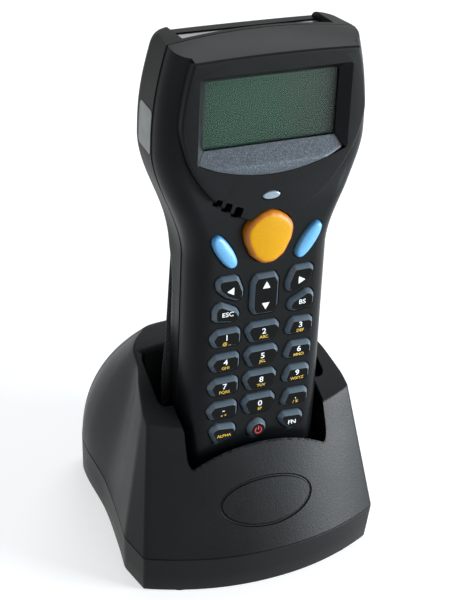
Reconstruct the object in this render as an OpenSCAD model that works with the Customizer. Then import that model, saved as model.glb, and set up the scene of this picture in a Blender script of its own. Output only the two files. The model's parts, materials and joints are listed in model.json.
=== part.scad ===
// Portable barcode data terminal standing in its charging cradle.
// Millimetres, +Z up, origin on the table under the middle of the cradle.
// The terminal is drawn in its own axes: X across, Y up its length from the
// bottom end, Z out of its key face; docked() leans it into the cradle.

/* [Cradle] */
// Width across the two front corners
cradle_width = 97; // [92:0.5:102]
// Depth from the front arc to the rear wall
cradle_depth = 95.7; // [92:0.1:102]
// Height of the tray, up to the parting line
tray_height = 15.1; // [11:0.1:16]
// Height of the front shoulder, where the sloping deck starts
shoulder_height = 56.1; // [52:0.1:58]
// How far the front arc bows forward of its corners
front_bow = 10.6; // [6:0.1:14]
// How much smaller the tray is at the table than at the parting line
tray_draft = 0.9; // [0.3:0.1:1.2]
// Run of the front face back from the vertical, per unit of height
front_slope = 0.515; // [0.48:0.005:0.56]
// Rise of the deck towards the back, per unit of depth
deck_slope = 0.45; // [0.38:0.01:0.52]
// Wall of the housing and of the tray
cradle_wall = 2.4; // [2:0.1:3]
// Thickness of the tray floor
tray_floor = 2.6; // [2.2:0.1:3.2]
// Height of the rubber feet
foot_height = 1.6; // [1.2:0.1:2.2]
// Diameter of the rubber feet
foot_diameter = 11; // [9:0.5:13]
// Width of the oval groove on the front
oval_width = 37; // [32:0.5:44]
// Height of the oval groove on the front, along the slope
oval_height = 18.3; // [16:0.1:22]
// Width and depth of the groove itself
oval_groove = 1.2; // [0.8:0.1:1.6]

/* [Dock] */
// Lean of the terminal back from the vertical
lean = 5; // [3:0.5:7]
// Height of the terminal's bottom end above the table
dock_height = 28; // [25:0.1:29]
// Gap from the key face to the front wall of the pocket
pocket_front_gap = 4.2; // [3.6:0.1:5]
// Gap on each side of the handle
pocket_side_gap = 1.2; // [1.1:0.1:1.8]
// Gap behind the hand strap
pocket_rear_gap = 1.2; // [1:0.1:2]
// Wall of the pocket
pocket_wall = 2.2; // [1.8:0.1:2.6]
// Extra width of the strap notch on each side of the pocket
notch_width = 5; // [4:0.1:6]
// Length of the charging pins above the pocket floor
pin_rise = 1; // [0.8:0.1:1.2]
// Diameter of the charging pins
pin_diameter = 2.2; // [1.6:0.1:2.6]

/* [Terminal] */
// Length from the bottom end to the top corners
body_length = 168.6; // [166:0.1:171]
// Rise of the top end between its corners
top_crown = 2.7; // [1.5:0.1:3.4]
// Width of the handle
handle_width = 53; // [50:0.1:55]
// Width across the head
head_width = 77; // [74:0.5:80]
// Width across the top corners
top_width = 67.4; // [66:0.1:70]
// Depth of the front shell, from the key face to the parting line
front_depth = 10.9; // [10:0.1:12]
// Depth of the handle behind the key face
handle_depth = 27; // [26:0.1:29]
// Depth of the head behind the key face
head_depth = 33.1; // [32:0.1:36]
// Depth of the top end behind the key face, where the head slopes forward
top_depth = 29.7; // [27:0.1:31]
// Depth of the battery cover's seam behind the key face
seam_depth = 17.5; // [17:0.1:18.5]
// Wall of both shells
shell_wall = 1.8; // [1.6:0.1:2]
// Reach of the rounded front edges across the front
edge_radius = 7.4; // [5:0.1:8]
// Reach of the rounded front edges down the sides
edge_height = 10; // [8:0.1:10.2]
// Radius of the long rear edges
rear_radius = 8; // [6:0.1:9]
// Radius of the rear edges at the top corners
ear_radius = 5; // [4:0.1:6]
// Rise of the head panel above the key face
panel_rise = 1.7; // [1.2:0.1:2.2]
// Drop of the top end towards the key face, where it is cut off at a slant
top_rake = 3; // [2:0.1:4]

/* [Screen] */
// Width of the screen well at the panel
screen_width = 54.4; // [52:0.1:56]
// Height of the screen well at the panel
screen_height = 29.6; // [28:0.1:31]
// Distance of the well's lower edge from the bottom end
screen_base = 131; // [129:0.1:132]
// How far the well's sides slope inwards
well_slope = 3; // [2.4:0.1:3.4]
// Depth of the window below the panel
well_depth = 3.4; // [3:0.1:3.8]
// Thickness of the clear window
window_thickness = 1.2; // [1:0.1:1.5]

/* [Keys] */
// Distance between the key columns
column_pitch = 14.2; // [14:0.05:14.6]
// Distance between the key rows
row_pitch = 9.67; // [9.6:0.01:9.9]
// Distance of the row of 1, 2 and 3 from the bottom end
first_row = 65.2; // [65:0.1:66]
// Rise of the keys above the key face
key_rise = 2; // [1.5:0.1:2.4]
// Slope of the keys' sides, as the inset of their tops
key_slope = 1; // [0.7:0.05:1.2]
// Gap round each key in its hole
key_gap = 0.25; // [0.2:0.01:0.3]
// Travel of a key when it is pressed
key_travel = 0.8; // [0.5:0.05:0.9]
// Rise of the scan key above the key face
scan_key_rise = 3.2; // [2.6:0.1:3.6]
// Diameter of the power key
power_diameter = 7.4; // [7:0.1:7.8]

/* [Battery and strap] */
// Top end of the battery cover, from the bottom end
cover_top = 76; // [74:0.5:80]
// Gap round the battery cover
cover_gap = 0.25; // [0.2:0.05:0.4]
// Width of the battery pack
battery_width = 42; // [40:0.5:43]
// Length of the battery pack
battery_length = 52; // [49:0.5:53]
// Travel of the battery latch
latch_travel = 2.5; // [1.5:0.1:3]
// Width of the hand strap at its lower end
strap_width = 50; // [46:0.5:51]
// Width of the hand strap at its upper end
strap_top_width = 38; // [32:0.5:42]
// Thickness of the hand strap
strap_thickness = 2.2; // [1.6:0.1:2.6]

/* [Boards and screws] */
// Thickness of the circuit boards
board_thickness = 1.6; // [1.4:0.1:1.8]
// Thread diameter of the case screws
screw_diameter = 2.5; // [2.2:0.1:3]
// Head diameter of the case screws
screw_head = 4.6; // [4.2:0.1:5.2]

/* [Hidden] */
$fn = 48;
eps = 0.01;
seat_gap = 0.3;
overrun = 3;
flange_grow = 0.5;
flange_thickness = 0.9;
flange_gap = 0.15;
arc_steps = 5;
flat_steps = 6;
tint_black = "#26292b";
tint_charcoal = "#2e3234";

digit_keys = ["key_1", "key_2", "key_3", "key_4", "key_5", "key_6",
    "key_7", "key_8", "key_9", "key_minus", "key_0", "key_point"];

// ---------- helpers ----------
function clamp01(t) = min(1, max(0, t));
function smooth(t) = let (c = clamp01(t)) c * c * (3 - 2 * c);
function lerp(a, b, t) = a + (b - a) * t;
// Drop of a quarter-round edge of radius r at distance d from where it starts.
function round_drop(d, r) = let (c = min(r, max(0, d))) r - sqrt(r * r - c * c);
// Elliptical arc with reaches r[0] across and r[1] up.
function arc(centre, r, from, to, n) =
    [for (i = [0:n]) let (a = lerp(from, to, i / n)) centre + [r[0] * cos(a), r[1] * sin(a)]];
function mirrored(points) = [for (i = [len(points) - 1:-1:0]) [-points[i][0], points[i][1]]];
// Outline of equal circles of radius r on the corners of a convex, anticlockwise polygon.
function rounded(corners, r, n = 3) = let (m = len(corners)) [for (i = [0:m - 1])
    let (before = corners[(i + m - 1) % m], here = corners[i], after = corners[(i + 1) % m],
        a0 = atan2(here[1] - before[1], here[0] - before[0]) - 90,
        a1 = atan2(after[1] - here[1], after[0] - here[0]) - 90,
        turn = (a1 - a0 + 720) % 360)
    for (k = [0:n]) here + r * [cos(a0 + turn * k / n), sin(a0 + turn * k / n)]];

// Closed solid through a list of rings with the same number of points. The ends
// are flat, or filled with the triangles of cap where the rings aren't flat.
module loft(rings, cap = []) {
    n = len(rings[0]);
    last = len(rings) - 1;
    sides = [for (i = [0:last - 1], j = [0:n - 1]) let (k = (j + 1) % n)
        each [[i * n + j, (i + 1) * n + j, i * n + k], [i * n + k, (i + 1) * n + j, (i + 1) * n + k]]];
    whole = [for (j = [0:n - 1]) j];
    low = len(cap) > 0 ? cap : [whole];
    high = [for (face = low) [for (j = [len(face) - 1:-1:0]) last * n + face[j]]];
    polyhedron(points = [for (ring = rings) each ring], faces = concat(sides, low, high));
}

// Prism of one convex outline whose radius changes with height: levels are [height, grow].
module stepped(corners, r, levels) {
    loft([for (level = levels) [for (p = rounded(corners, r + level[1])) [p[0], p[1], level[0]]]]);
}

// ---------- cradle form ----------
tray_base = 0.3;
half_cradle = cradle_width / 2;
front_y = -cradle_depth / 2;
rear_y = cradle_depth / 2;
front_step = 0.3;
function face_y(z) = front_y + front_step + front_slope * (z - tray_height);
shoulder_y = face_y(shoulder_height);
deck_depth = 45.3;
bow_power = 2.1;
deck_rear_y = shoulder_y + deck_depth;
function deck_z(y) = shoulder_height + deck_slope * (y - shoulder_y);
deck_top = deck_z(deck_rear_y);
top_bow = 4;
// Flank from the front corner to the middle of the rear wall. Each row holds
// the place at the parting line, the place at the deck's height and the power
// of the blend between them; a higher power bulges the wall outwards.
flank = [
    [[half_cradle - 2.3, front_y + front_bow], [37.8, face_y(deck_top) + top_bow], 1],
    [[half_cradle, front_y + front_bow + 13.5], [37.2, face_y(deck_top) + top_bow + 2], 1],
    [[half_cradle - 2.5, front_y + 37.7], [35.8, deck_rear_y - 20.7], 1],
    [[half_cradle - 5.2, rear_y - 38], [34.4, deck_rear_y - 15.6], 0.8],
    [[half_cradle - 5.6, rear_y - 17], [33, deck_rear_y - 10.1], 1.7],
    [[half_cradle - 7.9, rear_y - 6.9], [28.5, deck_rear_y - 4.1], 2],
    [[half_cradle - 14.5, rear_y - 1.5], [23, deck_rear_y - 0.9], 2],
    [[0, rear_y], [0, deck_rear_y], 2]];
front_steps = 5;

// Plan of the cradle at height z, anticlockwise from the middle of its front.
function plan(z) = let (
    t = clamp01((z - tray_height) / (deck_top - tray_height)),
    side = [for (row = flank) lerp(row[0], row[1], pow(t, row[2]))],
    bow = lerp(front_bow, top_bow, t),
    front = [for (k = [0:front_steps - 1]) [side[0][0] * k / front_steps,
        side[0][1] - bow + bow * pow(k / front_steps, bow_power)]],
    half = concat(front, side),
    inner = [for (i = [1:len(half) - 2]) half[i]])
    concat(half, mirrored(inner));

// Closed outline moved inwards by d along its corners' normals.
function inset(points, d) = let (n = len(points)) [for (i = [0:n - 1])
    let (along = points[(i + 1) % n] - points[(i + n - 1) % n])
    points[i] + d / norm(along) * [-along[1], along[0]]];

function at_height(points, z) = [for (p = points) [p[0], p[1], z]];

housing_levels = [0, 7, 14, 21, 28, 35, 42, 48, 53, 57, 60];

module cradle_form(d) {
    loft([for (h = housing_levels) at_height(inset(plan(tray_height + h), d), tray_height + h
        + (h == 0 && d > 0 ? -1 : 0) + (h == 60 ? 3 : 0))]);
}

// Everything under the deck, lowered by d.
module under_deck(d) {
    reach = cradle_width;
    translate([-reach / 2, 0, 0]) rotate([90, 0, 90]) linear_extrude(reach)
        polygon([[-reach, 0], [reach, 0], [reach, deck_z(reach) - d], [-reach, deck_z(-reach) - d]]);
}

// ---------- dock ----------
dock_y = front_y + 20.7;
module docked() { translate([0, dock_y, dock_height]) rotate([90 - lean, 0, 0]) children(); }
strap_back = handle_depth + seat_gap + strap_thickness;
pocket_half = handle_width / 2 + pocket_side_gap;
pocket_back = strap_back + pocket_rear_gap;
notch_front = 11;
notch_base = 7;
pocket_height = 70;
contact_pitch = 4;
contact_depth = 6;
contact_first = 4;
contact_places = [for (k = [0:3]) contact_first + k * contact_pitch];
ir_width = 11;
ir_height = 4;
ir_place = -10;

// Box in the terminal's axes between two corners.
module block(low, high) { translate(low) cube(high - low); }

module pocket_space() {
    block([-pocket_half, -seat_gap, -pocket_back], [pocket_half, pocket_height, pocket_front_gap]);
    block([-pocket_half - notch_width, notch_base, -pocket_back],
        [pocket_half + notch_width, pocket_height, -notch_front]);
}

module pocket_walls() {
    w = pocket_wall;
    block([-pocket_half - w, -seat_gap - w, -pocket_back - w],
        [pocket_half + w, pocket_height, pocket_front_gap + w]);
    block([-pocket_half - notch_width - w, notch_base - w, -pocket_back - w],
        [pocket_half + notch_width + w, pocket_height, -notch_front + w]);
}

post_places = [for (x = [-1, 1]) each
    [[x * (half_cradle - 7), front_y + 20.8], [x * (half_cradle - 10.5), rear_y - 19.8]]];
post_diameter = 7;
holder_length = contact_pitch * 3 + 4.4;
holder_width = 6;
holder_depth = 7;
holder_middle = contact_first + 1.5 * contact_pitch;

module cradle_housing() color(tint_charcoal) difference() {
    union() {
        difference() {
            intersection() { cradle_form(0); under_deck(0); }
            intersection() { cradle_form(cradle_wall); under_deck(cradle_wall); }
        }
        intersection() { cradle_form(eps); under_deck(eps); docked() pocket_walls(); }
        intersection() {
            cradle_form(eps);
            for (p = post_places) translate([p[0], p[1], tray_height]) cylinder(d = post_diameter, h = 12);
        }
    }
    docked() pocket_space();
    docked() block([holder_middle - holder_length / 2 - 0.1, -10, -contact_depth - holder_width / 2 - 0.1],
        [holder_middle + holder_length / 2 + 0.1, 1, -contact_depth + holder_width / 2 + 0.1]);
    docked() block([ir_place - ir_width / 2, -10, -contact_depth - ir_height / 2],
        [ir_place + ir_width / 2, 1, -contact_depth + ir_height / 2]);
    for (p = post_places) translate([p[0], p[1], tray_height - 1]) cylinder(d = screw_diameter - 0.5, h = 10);
    oval_ring();
}

// Oval groove cut along the sloping front face.
module oval_ring() {
    middle = tray_height + 16.2;
    translate([0, face_y(middle) + 0.35, middle]) rotate([90 - atan(front_slope), 0, 0])
        linear_extrude(oval_groove, center = true) difference() {
            polygon(oval(0));
            polygon(oval(-oval_groove));
        }
}
function oval(grow) = [for (a = [0:10:350]) [(oval_width / 2 + grow) * cos(a), (oval_height / 2 + grow) * sin(a)]];

jack_x = -18;
socket_x = 12;
port_front = rear_y - 14;
board_rest = 5.4;
port_base = board_rest + board_thickness;
jack_size = [9, 12.6, 6.2];
socket_size = [12, 12.6, 6];
foot_places = [for (x = [-1, 1], y = [-1, 1]) [x * (half_cradle - 17), y * (rear_y - 11.8)]];

module tray_form(d) {
    loft([at_height(inset(plan(tray_height), tray_draft + d), tray_base + (d > 0 ? tray_floor : 0)),
        at_height(inset(plan(tray_height), d), tray_height + (d > 0 ? 1 : 0))]);
}

module cradle_tray() color(tint_black) difference() {
    union() {
        difference() { tray_form(0); tray_form(cradle_wall); }
        for (p = post_places) translate([p[0], p[1], tray_base])
            cylinder(d = post_diameter, h = tray_height - tray_base);
        for (x = [-1, 1], y = [3, rear_y - 18]) translate([x * 22, y, tray_base])
            cylinder(d = 5, h = board_rest - tray_base);
    }
    for (p = post_places) translate([p[0], p[1], 0]) {
        cylinder(d = screw_diameter + 0.4, h = tray_height + 1);
        cylinder(d = screw_head + 0.6, h = tray_base + 4);
    }
    for (p = foot_places) translate([p[0], p[1], 0]) cylinder(d = foot_diameter + 0.2, h = foot_height);
    for (port = [[jack_x, jack_size], [socket_x, socket_size]])
        translate([port[0] - port[1][0] / 2 - 0.2, rear_y - 6, port_base - 0.1])
            cube([port[1][0] + 0.4, 10, port[1][2] + 0.3]);
}

module cradle_feet() color("#1b1c1d")
    for (p = foot_places) translate([p[0], p[1], 0]) cylinder(d = foot_diameter, h = foot_height);

module cradle_screws() color("silver") for (p = post_places) translate([p[0], p[1], tray_base + 2.2]) {
    cylinder(d = screw_head, h = 1.8);
    cylinder(d = screw_diameter - 0.5, h = tray_height + 6 - tray_base - 2.2);
}

plate_front = front_y + 14;
plate_half = half_cradle - 21;
plate_thickness = 3;
plate_gap = 1.85;
board_front = 0;
cradle_board_half = half_cradle - 19;
port_margin = 6;
module ballast_plate() color("#8b8f92") translate([-plate_half, plate_front, tray_base + tray_floor])
    cube([2 * plate_half, board_front - plate_gap - plate_front, plate_thickness]);

module cradle_board() color("#1f5a38") difference() {
    translate([-cradle_board_half, board_front, board_rest])
        cube([2 * cradle_board_half, rear_y - port_margin - board_front, board_thickness]);
    for (p = post_places) translate([p[0], p[1], board_rest - 1]) cylinder(d = 9, h = 4);
}

module dc_jack() color("#151617") translate([jack_x, port_front + 12.6, port_base]) difference() {
    translate([-jack_size[0] / 2, -jack_size[1], 0]) cube(jack_size);
    translate([0, 1, jack_size[2] / 2]) rotate([90, 0, 0]) cylinder(d = 3.8, h = 10);
}

module data_socket() color("#6f7477") translate([socket_x, port_front + 12.6, port_base]) difference() {
    translate([-socket_size[0] / 2, -socket_size[1], 0]) cube(socket_size);
    translate([-socket_size[0] / 2 + 1.2, -9, 1.2]) cube([socket_size[0] - 2.4, 10, socket_size[2] - 2.4]);
}

module pin_holder() color("#141516") docked() difference() {
    block([holder_middle - holder_length / 2, -holder_depth, -contact_depth - holder_width / 2],
        [holder_middle + holder_length / 2, -seat_gap, -contact_depth + holder_width / 2]);
    for (x = contact_places) translate([x, -holder_depth - 1, -contact_depth]) rotate([-90, 0, 0])
        cylinder(d = pin_diameter + 0.1, h = holder_depth + 2);
}

module charging_pins() color("gold") docked() for (x = contact_places)
    translate([x, -holder_depth, -contact_depth]) rotate([-90, 0, 0]) {
        cylinder(d = pin_diameter, h = holder_depth - seat_gap - 0.2);
        cylinder(d = pin_diameter - 0.8, h = holder_depth - 0.1);
    }

module cradle_ir_window() color("#3b0d12") docked()
    block([ir_place - ir_width / 2 + 0.1, -seat_gap - 2, -contact_depth - ir_height / 2 + 0.1],
        [ir_place + ir_width / 2 - 0.1, -seat_gap - 0.1, -contact_depth + ir_height / 2 - 0.1]);

// ---------- terminal form ----------
neck_start = body_length - 75.1;
cheek = body_length - 34.4;
top_start = cheek + 3;
end_radius = 4;
end_edge = 2.5;
head_dip = 1.2;
head_dip_start = 112;
head_dip_end = 124;
rear_swell_start = cover_top;
rear_swell_end = cover_top + 25;
side_draft = 0.5;
rear_draft = 1.3;
// Slopes of the side walls stay under these, so that every ring is convex.
side_slope = 0.1;
rear_slope = 0.14;
slope_start = body_length - 26;
rear_edge = 4.5;
crown_start = body_length - 18.6;

// Half width of the terminal at the parting line, at distance v from its bottom end.
function half_width(v) = handle_width / 2
    + (head_width - handle_width) / 2 * smooth((v - neck_start) / (cheek - neck_start))
    - (head_width - top_width) / 2 * pow(max(0, v - top_start) / (body_length - top_start), 2)
    - round_drop(end_radius - v, end_radius);
// Height of the front surface, without the raised panel.
function front_level(v) = -round_drop(end_edge - v, end_edge)
    - head_dip * smooth((v - head_dip_start) / (head_dip_end - head_dip_start));
// Height of the rear surface.
function rear_level(v) = round_drop(end_edge - v, end_edge) - handle_depth
    - (head_depth - handle_depth) * smooth((v - rear_swell_start) / (rear_swell_end - rear_swell_start))
    + (head_depth - top_depth) * smooth((v - slope_start) / (body_length - slope_start))
    + round_drop(v - body_length + rear_edge, rear_edge);
// Crown of the top end: its middle stands higher than its corners.
function crown(u, v) = top_crown * (1 - pow(u / (top_width / 2), 2))
    * smooth((v - crown_start) / (body_length - crown_start));

// Each ring is a wall, an edge, a flat with a middle, an edge, a wall and a back with the flat's steps.
function flats(x, z) = [for (k = [1:flat_steps - 1]) [lerp(-x, x, k / flat_steps), z]];
edge_points = arc_steps + 1;
far_corner = 2 * edge_points + flat_steps;
ring_points = far_corner + flat_steps;
// Triangles that fill a ring: a fan at each edge and a strip from the flat to the back.
ring_cap = concat([for (j = [1:arc_steps]) [0, j, j + 1]],
    [for (k = [0:flat_steps - 1]) let (front = edge_points + k, back = (ring_points - k) % ring_points,
        next = ring_points - k - 1) each [[front, front + 1, next], [front, next, back]]],
    [for (j = [far_corner - edge_points:far_corner - 2]) [far_corner, j, j + 1]]);
function front_ring(v, t, base) = let (
    h = half_width(v) - t, z = front_level(v) - t, a = edge_radius - t,
    b = min(edge_height - t, z - base - 0.3), x = h - min(side_draft, side_slope * (z - b - base)) - a)
    [for (p = concat([[-h, base]], arc([-x, z - b], [a, b], 180, 90, arc_steps), flats(x, z),
        arc([x, z - b], [a, b], 90, 0, arc_steps), [[h, base]], flats(-x, base)))
        [p[0], v + crown(p[0], v), p[1]]];
function rear_corner(v) = lerp(rear_radius, ear_radius,
    smooth((v - slope_start) / (body_length - slope_start)));
function rear_run(v, t, base) = min(rear_draft, rear_slope * (base - rear_level(v) - rear_corner(v)));
function rear_ring(v, t, base) = let (
    h = half_width(v) - t, z = rear_level(v) + t,
    a = rear_corner(v) - t, r = [a, a], x = h - rear_run(v, t, base) - a)
    [for (p = concat([[h, base]], arc([x, z + a], r, 0, -90, arc_steps), flats(-x, z),
        arc([-x, z + a], r, -90, -180, arc_steps), [[-h, base]], flats(x, base)))
        [p[0], v + crown(p[0], v), p[1]]];

station_margin = 8;
middle_stations = [for (v = [10, 45, 76, 84, 90, 96, 102, 108, 113, 118, 123, 128, 133, 138, 145, 152, 158])
    if (v < body_length - station_margin) v];
front_stations = concat([0, 0.3, 1.2, 2.5, 4], middle_stations,
    [body_length - 5, body_length]);
rear_stations = concat([0, 0.3, 1.2, 2.5, 4], middle_stations,
    [for (d = [1, 0.7, 0.4, 0.15, 0]) body_length - d * rear_edge]);
function inside(stations, t, end) = concat([t], [for (s = stations) if (s > t + 2 && s < end - 2) s], [end]);

gasket_thickness = 0.5;
rear_base = -front_depth - gasket_thickness;

module front_form() { loft([for (v = front_stations) front_ring(v, 0, -front_depth)], ring_cap); }
module front_hollow() {
    stations = inside(front_stations, shell_wall, body_length - shell_wall - top_rake);
    loft([for (v = stations) front_ring(v, shell_wall, -front_depth - 2)], ring_cap);
}
module rear_form() { loft([for (v = rear_stations) rear_ring(v, 0, rear_base)], ring_cap); }
module rear_hollow() {
    stations = inside(rear_stations, shell_wall, body_length - shell_wall);
    loft([for (v = stations) rear_ring(v, shell_wall, rear_base + 2)], ring_cap);
}
// Everything above the slanted cut of the top end, which starts a little above the seam.
rake_start = 0.6;
function rake_level(u, z) = body_length + crown(u, body_length)
    - top_rake * (z + front_depth - rake_start) / (front_depth + panel_rise);
module above_rake() {
    low = -front_depth - overrun;
    high = panel_rise + overrun;
    beyond = body_length + top_crown + overrun;
    loft([for (k = [-4:4]) let (u = head_width / 8 * k)
        [[u, rake_level(u, low), low], [u, beyond, low], [u, beyond, high], [u, rake_level(u, high), high]]]);
}

// ---------- head panel ----------
panel_margin = 5;
panel_top = body_length - 0.4;
chin_middle = body_length - 23.6;
chin_depth = 37.6;
chin_power = 1.75;
panel_corner = 2.5;
function chin(grow) = let (a = half_width(chin_middle) - panel_margin + grow, b = chin_depth + grow)
    [for (q = [90:-10:0]) [a * pow(cos(q), 2 / chin_power), chin_middle - b * pow(sin(q), 2 / chin_power)]];
function panel_half(grow) = let (edge = function (v) half_width(v) - panel_margin + grow,
    top = panel_top + grow, r = panel_corner,
    corner = [edge(top - r) - r, top - r])
    concat(chin(grow), [for (v = [chin_middle + 6, chin_middle + 12]) [edge(v), v]],
        [for (a = [0:22.5:90]) let (p = corner + r * [cos(a), sin(a)]) [p[0], p[1] + crown(p[0], panel_top)]],
        [for (u = [20, 10, 0]) [u, top + crown(u, panel_top)]]);
function panel(grow) = let (half = panel_half(grow), inner = [for (i = [1:len(half) - 2]) half[i]])
    concat(half, mirrored(inner));
module head_panel() {
    loft([at_height(panel(0.4), -shell_wall - head_dip + 0.2), at_height(panel(0), panel_rise - 1),
        at_height(panel(-0.4), panel_rise - 0.3), at_height(panel(-1), panel_rise)]);
}

// ---------- screen ----------
well_floor = panel_rise - well_depth;
well_lip = 0.5;
window_top = well_floor - well_lip;
window_rim = 2;
screen_middle = [0, screen_base + screen_height / 2];
function rectangle(w, h, r) = [[-w / 2 + r, -h / 2 + r], [w / 2 - r, -h / 2 + r],
    [w / 2 - r, h / 2 - r], [-w / 2 + r, h / 2 - r]];
glass_width = screen_width - 2 * well_slope;
glass_base = screen_base + 3.7;
glass_top = screen_base + screen_height - 2.2;
glass_middle = [0, (glass_base + glass_top) / 2];
glass_height = glass_top - glass_base;

module screen_well() {
    rim = 0.8;
    loft([at_height([for (p = rounded(rectangle(glass_width, glass_height, rim), rim)) p + glass_middle],
            well_floor),
        at_height([for (p = rounded(rectangle(screen_width, screen_height, rim), rim)) p + screen_middle],
            panel_rise),
        at_height([for (p = rounded(rectangle(screen_width, screen_height, rim), rim)) p + screen_middle],
            panel_rise + 4)]);
    translate(concat(glass_middle, -10)) linear_extrude(10 + well_floor + eps)
        square([glass_width, glass_height], center = true);
    translate(concat(glass_middle, -10)) linear_extrude(10 + window_top)
        square([glass_width + 2 * window_rim, glass_height + 2 * window_rim], center = true);
}

module screen_window() color([0.75, 0.85, 0.8, 0.35]) docked()
    translate(concat(glass_middle, window_top - window_thickness - 0.05)) linear_extrude(window_thickness)
        square([glass_width + 2 * window_rim - 0.2, glass_height + 2 * window_rim - 0.2], center = true);

lcd_top = window_top - window_thickness - seat_gap;
lcd_base = -front_depth + 0.4;
lcd_border = 1.7;
module lcd_module() color("#4f6f60") docked()
    translate(concat(glass_middle, lcd_base)) linear_extrude(lcd_top - lcd_base)
        square([glass_width + 2 * lcd_border, glass_height + 2 * lcd_border], center = true);

// Half-moon trim that slopes from the glass up to the panel.
lens_drop = 6;
lens_half = screen_width / 2 - 0.3;
module lens_outline(grow) {
    bend = screen_base - lens_drop;
    polygon(concat([for (k = [-8:8]) let (u = k / 8) [u * (lens_half + grow), bend - grow + lens_drop * u * u]],
        [[glass_width / 2 + grow, glass_base + grow], [-glass_width / 2 - grow, glass_base + grow]]));
}
module lens_wedge(grow) {
    low = window_top + 0.05;
    translate([-lens_half - 1, 0, 0]) rotate([90, 0, 90]) linear_extrude(2 * lens_half + 2)
        polygon([[screen_base - lens_drop - 2, low], [glass_base + 1, low],
            [glass_base + 1, well_floor + grow], [screen_base - 2.5, panel_rise - 0.15 + grow],
            [screen_base - lens_drop - 2, panel_rise - 0.15 + grow]]);
}
module lens_panel() color("#5d6069") docked()
    intersection() { translate([0, 0, -5]) linear_extrude(8) lens_outline(0); lens_wedge(0); }
module lens_seat() { translate([0, 0, window_top - 0.05]) linear_extrude(8) lens_outline(0.1); }

// ---------- keys ----------
left_shape = [[-3.4, -2.3], [4.6, -2.3], [4.6, 1.6], [3.9, 2.1], [-3.3, 2], [-4.7, 0.3]];
middle_shape = [[-3.6, -2.7], [3.6, -2.7], [5.5, 1.2], [4.4, 2.6], [-4.4, 2.6], [-5.5, 1.2]];
right_shape = [[-4.2, -2.1], [4.2, -1.9], [4.2, 1.3], [3.6, 1.8], [-2.6, 2]];
edit_shape = [[-1.6, -2.7], [3.8, -1.9], [3.9, 1.2], [3.2, 2.4], [2, 2.6], [-3, 0], [-3.8, -1.5],
    [-3.2, -2.3]];
arrow_shape = [[-3.6, -3.6], [0.9, -1.5], [3.5, 1], [4.1, 3.3], [3.2, 3.7], [-1.9, 3.6], [-3.7, -0.8]];
alpha_shape = [[-1.9, -2.8], [3, -1.4], [4, 1], [3.6, 2.2], [-2.2, 2.7], [-4, 2], [-3.4, 0.2]];
function_shape = [[0.7, -2.8], [3.1, -1.3], [3.8, 1.2], [3, 2.3], [-3.2, 2.7], [-3.8, 1.9], [-2.2, -0.6]];
rocker_shape = [[-3.2, -0.5], [3.2, -0.5], [4, 4.6], [3, 6.4], [-3, 6.4], [-4, 4.6]];
scan_half = [[1.6, -7.8], [4.4, -5.6], [6.6, -1], [7.2, 3], [5.2, 5.3], [2.6, 7.1]];
scan_shape = concat(scan_half, [[0, 7.8]], mirrored(scan_half));
side_shape = [[-5.7, 0], [-2.5, -1.1], [2.5, -1.1], [5.7, 0], [2.5, 1.1], [-2.5, 1.1]];
side_tilt = 57;
function turned(points, a) = [for (p = points) [p[0] * cos(a) - p[1] * sin(a), p[0] * sin(a) + p[1] * cos(a)]];
function flipped(points) = [for (i = [len(points) - 1:-1:0]) [points[i][0], -points[i][1]]];
function placed(points, at) = [for (p = points) p + at];

corner_small = 1.3;
corner_edit = 1.4;
corner_arrow = 1.5;
corner_scan = 2;
alpha_place = [-13.6, 26.4];
function_place = [13.4, 26.3];
power_place = [0, 25.8];
edit_place = [14.2, 75];
arrow_place = [13.2, 83.6];
rocker_place = [0, 79.9];
scan_place = [0, 102.1];
side_place = [15.8, 98.1];
column_shapes = [left_shape, middle_shape, right_shape];
function digit_place(i) = [(i % 3 - 1) * column_pitch, first_row - floor(i / 3) * row_pitch];

// Name, outline corners and corner radius of every key but the round one.
key_table = concat(
    [for (i = [0:11]) [digit_keys[i], placed(column_shapes[i % 3], digit_place(i)), corner_small]],
    [["escape_key", placed(mirrored(edit_shape), [-edit_place[0], edit_place[1]]), corner_edit],
     ["backspace_key", placed(edit_shape, edit_place), corner_edit],
     ["arrow_left_key", placed(mirrored(arrow_shape), [-arrow_place[0], arrow_place[1]]), corner_arrow],
     ["arrow_right_key", placed(arrow_shape, arrow_place), corner_arrow],
     ["alpha_key", placed(alpha_shape, alpha_place), corner_small],
     ["function_key", placed(function_shape, function_place), corner_small],
     ["left_side_key", placed(turned(side_shape, -side_tilt), [-side_place[0], side_place[1]]), corner_arrow],
     ["right_side_key", placed(turned(side_shape, side_tilt), side_place), corner_arrow],
     ["scan_key", placed(scan_shape, scan_place), corner_scan]]);
rocker_halves = [placed(rocker_shape, rocker_place), placed(flipped(rocker_shape), rocker_place)];

function centre(points) = [for (axis = [0, 1]) let (c = [for (p = points) p[axis]]) (min(c) + max(c)) / 2];

flange_top = -shell_wall - flange_gap;
flange_base = flange_top - flange_thickness;
stem_base = flange_base - 0.9;
stem_diameter = 3;
key_profile = [[flange_base, flange_grow], [flange_top, flange_grow], [flange_top, 0], [0, 0],
    [key_rise, -key_slope]];
side_profile = [[flange_base, flange_grow], [flange_top, flange_grow], [flange_top, 0], [0.6, 0],
    [1.4, -0.4], [1.8, -1.1]];
scan_profile = [[flange_base, flange_grow], [flange_top, flange_grow], [flange_top, 0], [1.7, 0],
    [scan_key_rise - 0.6, -0.5], [scan_key_rise, -1.8]];

stem_length = flange_base - stem_base + 0.5;
module stem(at) { translate([at[0], at[1], stem_base]) cylinder(d = stem_diameter, h = stem_length); }

module key(name, tint, profile) color(tint) docked() for (row = key_table) if (row[0] == name) {
    stepped(row[1], row[2], profile);
    stem(centre(row[1]));
}

module up_down_key() color(tint_black) docked() {
    for (half = rocker_halves) stepped(half, corner_edit, key_profile);
    for (y = [-4, 4]) stem(rocker_place + [0, y]);
}

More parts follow.
